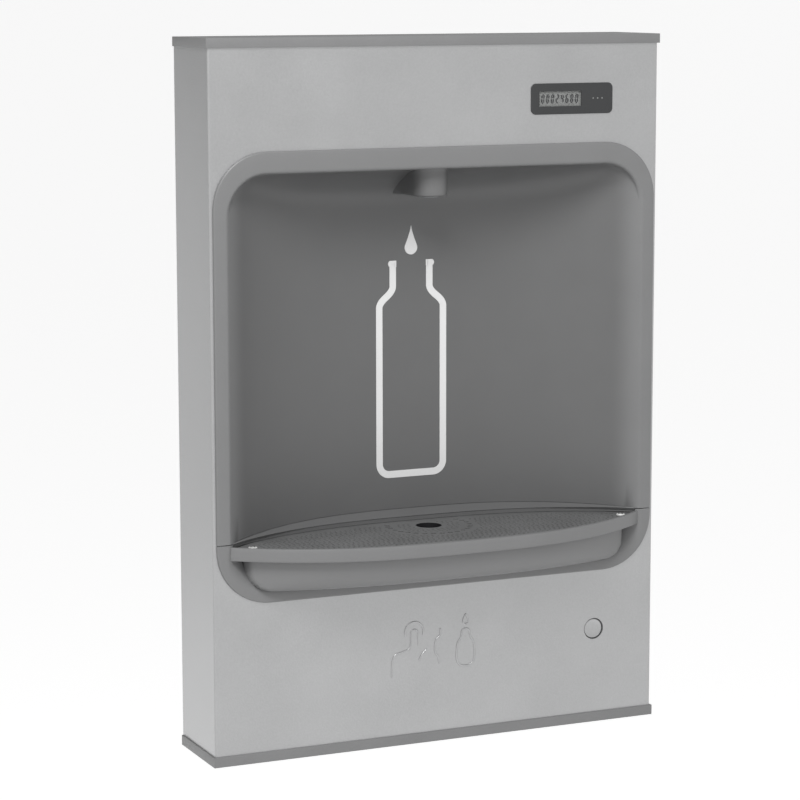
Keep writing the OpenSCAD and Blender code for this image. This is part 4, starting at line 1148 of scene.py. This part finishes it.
class FOUNTAIN_OT_screws(Piece, bpy.types.Operator):
    """Screws of the caps and the grille"""

    bl_idname = "fountain.screws"
    bl_label = "Screws"

    def build(self, scene):
        tree = copies_tree()
        for name, node, shank_r, head_r, head_h, up in (
                ("top_cap_fixings", "top_cap_screws", 2.0, 3.5, 2.4, -1),
                ("bottom_cap_fixings", "bottom_cap_screws", 2.0, 3.5, 2.4, -1),
                ("grille_fixings", "grille_screws", 1.8, 4.2, 1.2, 1)):
            lo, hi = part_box(node)
            r = head_r * MM
            base = hi[2] - head_h * MM if up > 0 else lo[2] + head_h * MM
            shank = (hi[2] - lo[2]) / MM - head_h
            xs = (lo[0] + r, hi[0] - r)
            ys = sorted({round(lo[1] + r, 6), round(hi[1] - r, 6)})
            copy = screw(shank_r, head_r, head_h, shank, up)
            places = points_object(name, [(x, y, base) for x in xs for y in ys])
            run_tree(places, tree, {"Copy": copy, "Material": finish_for("screw_steel")})
            bpy.data.objects.remove(copy)
            complete(places, "screw_steel", [node])


# Node, new name and edge rounding in millimetres of the inner pieces that keep their CAD shape
SOFTENED = (
    ("back_plate", "folded_back_plate", 0.4),
    ("valve_body", "valve_block", 0.6),
    ("valve_bonnet", "bonnet_nut", 0.5),
    ("valve_bracket", "bent_bracket", 0.4),
    ("nozzle_nut", "nozzle_lock", 0.5),
    ("tube_nuts", "compression_nuts", 0.5),
    ("drain_locknut", "drain_lock", 0.7),
    ("drain_gasket", "drain_washer", 0.4),
    ("tube_elbow", "elbow_block", 0.6),
    ("tube_clips", "riser_clips", 0.6),
    ("battery_holder", "cell_holder", 0.5),
    ("display_housing", "counter_housing", 0.5),
    ("button_bush", "guide_bush", 0.25),
    ("flow_sensor_cover", "sensor_cover", 0.6),
    ("liner_clips", "upper_clips", 0.5),
    ("basin_clips", "lower_clips", 0.5),
)


class FOUNTAIN_OT_inside(Piece, bpy.types.Operator):
    """Inner pieces with softened edges, and finishes for the ones that keep their CAD shape"""

    bl_idname = "fountain.inside"
    bl_label = "Inner pieces"

    def build(self, scene):
        slots = {part["node"]: part["material_slot"] for part in frame["record"]["subparts"]}
        for node, name, edge in SOFTENED:
            piece = bevel(plain_copy(name, node), edge * MM, 2)
            complete(piece, slots[node], [node])
        cells = battery_cells()
        complete(cells, "cell_wrap", ["battery_cells"])
        for node, obj in frame["nodes"].items():
            if node in slots:
                obj.data.materials.clear()
                obj.data.materials.append(finish_for(slots[node]))


def battery_cells():
    """Cells with a rounded shoulder, a raised contact and a rolled rim."""
    lo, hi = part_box("battery_cells")
    r = 7.1
    x0, x1 = lo[0] / MM, hi[0] / MM
    depth = (lo[1] - PANEL) / MM + r
    profile = [(0.02, x0 + 0.6), (5.6, x0 + 0.6), (6.2, x0), (6.9, x0 + 0.2),
               (r, x0 + 0.8), (r, x1 - 2.3), (6.7, x1 - 1.6),
               (5.6, x1 - 1.4), (2.8, x1 - 1.3), (2.7, x1 - 0.2), (2.4, x1), (0.02, x1)]
    shape = Shape()
    for z in ((lo[2] - BASE) / MM + r, ((lo[2] + hi[2]) / 2 - BASE) / MM, (hi[2] - BASE) / MM - r):
        rings = [[(t, depth + q * math.cos(a), z + q * math.sin(a))
                  for a in spread(0, 2 * math.pi, 40)[:-1]] for q, t in profile]
        shape.loft(rings)
    return shape.object("battery_trio")


class FOUNTAIN_OT_stage(Piece, bpy.types.Operator):
    """Pale floor, soft light and the camera"""

    bl_idname = "fountain.stage"
    bl_label = "Stage"

    def build(self, scene):
        s = scene.fountain_stage
        floor_z = BASE - s.floor_drop
        mesh = bpy.data.meshes.new("floor")
        far = 300
        corners = [(-far, -far, floor_z), (far, -far, floor_z), (far, far, floor_z), (-far, far, floor_z)]
        mesh.from_pydata(corners, [], [(0, 1, 2, 3)])
        floor = new_object("floor", mesh)
        material = bpy.data.materials.new("pale_floor")
        n = Nodes(material)
        shader = n.add("ShaderNodeBsdfPrincipled")
        shader.inputs["Base Color"].default_value = (0.9, 0.9, 0.9, 1)
        shader.inputs["Roughness"].default_value = 0.9
        shader.inputs["Emission Color"].default_value = (1, 1, 1, 1)
        shader.inputs["Emission Strength"].default_value = 0.45
        n.add("ShaderNodeOutputMaterial", [(shader.outputs["BSDF"], "Surface")])
        mesh.materials.append(material)
        self.sky(scene)
        for name, place, aim, size, power in LAMPS:
            light = bpy.data.lights.new(name, "AREA")
            light.size = size
            light.energy = power
            lamp = bpy.data.objects.new(name, light)
            scene.collection.objects.link(lamp)
            lamp.visible_camera = False
            lamp.location = place
            lamp.rotation_euler = (Vector(aim) - Vector(place)).to_track_quat("-Z", "Y").to_euler()
        camera_data = bpy.data.cameras.new("camera")
        camera_data.lens = s.lens
        camera_data.sensor_width = 36
        camera = bpy.data.objects.new("camera", camera_data)
        scene.collection.objects.link(camera)
        camera.location = (-1.0754, -2.3890, 0.38255)
        camera.rotation_euler = tuple(math.radians(a) for a in (81.328, 0.093, -24.206))
        scene.camera = camera
        scene.view_settings.view_transform = "Standard"

    def sky(self, scene):
        world = bpy.data.worlds.new("soft_sky")
        scene.world = world
        world.use_nodes = True
        tree = world.node_tree
        tree.nodes.clear()
        place, parts = tree.nodes.new("ShaderNodeTexCoord"), tree.nodes.new("ShaderNodeSeparateXYZ")
        ramp, light = tree.nodes.new("ShaderNodeValToRGB"), tree.nodes.new("ShaderNodeBackground")
        target = tree.nodes.new("ShaderNodeOutputWorld")
        ramp.color_ramp.elements[0].position = 0.0
        ramp.color_ramp.elements[0].color = (1, 1, 1, 1)
        ramp.color_ramp.elements[1].position = 0.9
        ramp.color_ramp.elements[1].color = (0.55, 0.55, 0.55, 1)
        tree.links.new(place.outputs["Generated"], parts.inputs["Vector"])
        tree.links.new(parts.outputs["Z"], ramp.inputs["Fac"])
        toward, dim = tree.nodes.new("ShaderNodeVectorMath"), tree.nodes.new("ShaderNodeMapRange")
        toward.operation = "DOT_PRODUCT"
        toward.inputs[1].default_value = (-0.41, 0.90, 0.15)
        for key, value in zip(("From Min", "From Max", "To Min", "To Max"), (0.35, 0.9, 1.0, 0.05)):
            dim.inputs[key].default_value = value
        tree.links.new(place.outputs["Generated"], toward.inputs[0])
        tree.links.new(toward.outputs["Value"], dim.inputs["Value"])
        tree.links.new(dim.outputs["Result"], light.inputs["Strength"])
        tree.links.new(ramp.outputs["Color"], light.inputs["Color"])
        tree.links.new(light.outputs["Background"], target.inputs["Surface"])


# Name, place, aim, size in metres and power in watts of the soft lamps
LAMPS = (
    ("key", (-0.9, -1.3, 1.75), (0, -0.05, 0), 0.9, 50),
    ("side_glow", (-0.72, 0.75, -0.65), (-0.227, -0.04, -0.32), 0.5, 0.3),
)

OPERATORS = (
    FOUNTAIN_OT_cabinet,
    FOUNTAIN_OT_caps,
    FOUNTAIN_OT_alcove,
    FOUNTAIN_OT_basin,
    FOUNTAIN_OT_grille,
    FOUNTAIN_OT_marks,
    FOUNTAIN_OT_counter,
    FOUNTAIN_OT_button,
    FOUNTAIN_OT_screws,
    FOUNTAIN_OT_inside,
    FOUNTAIN_OT_stage,
)


class FOUNTAIN_PT_panel(bpy.types.Panel):
    """Lists the pieces and their sizes"""

    bl_idname = "FOUNTAIN_PT_panel"
    bl_label = "Bottle filling fountain"
    bl_space_type = "VIEW_3D"
    bl_region_type = "UI"
    bl_category = "Fountain"

    def draw(self, context):
        for operator in OPERATORS:
            self.layout.operator(operator.bl_idname)
        for name, group in SETTINGS.items():
            box = self.layout.box()
            for key in group.__annotations__:
                box.prop(getattr(context.scene, name), key)


CLASSES = tuple(SETTINGS.values()) + OPERATORS + (FOUNTAIN_PT_panel,)


def register():
    for cls in CLASSES:
        bpy.utils.register_class(cls)
    for name, group in SETTINGS.items():
        setattr(bpy.types.Scene, name, PointerProperty(type=group))


def unregister():
    for name in SETTINGS:
        delattr(bpy.types.Scene, name)
    for cls in reversed(CLASSES):
        bpy.utils.unregister_class(cls)


def main():
    register()
    for operator in OPERATORS:
        family, name = operator.bl_idname.split(".")
        getattr(getattr(bpy.ops, family), name)()
    bpy.context.view_layer.update()


if __name__ == "__main__":
    main()
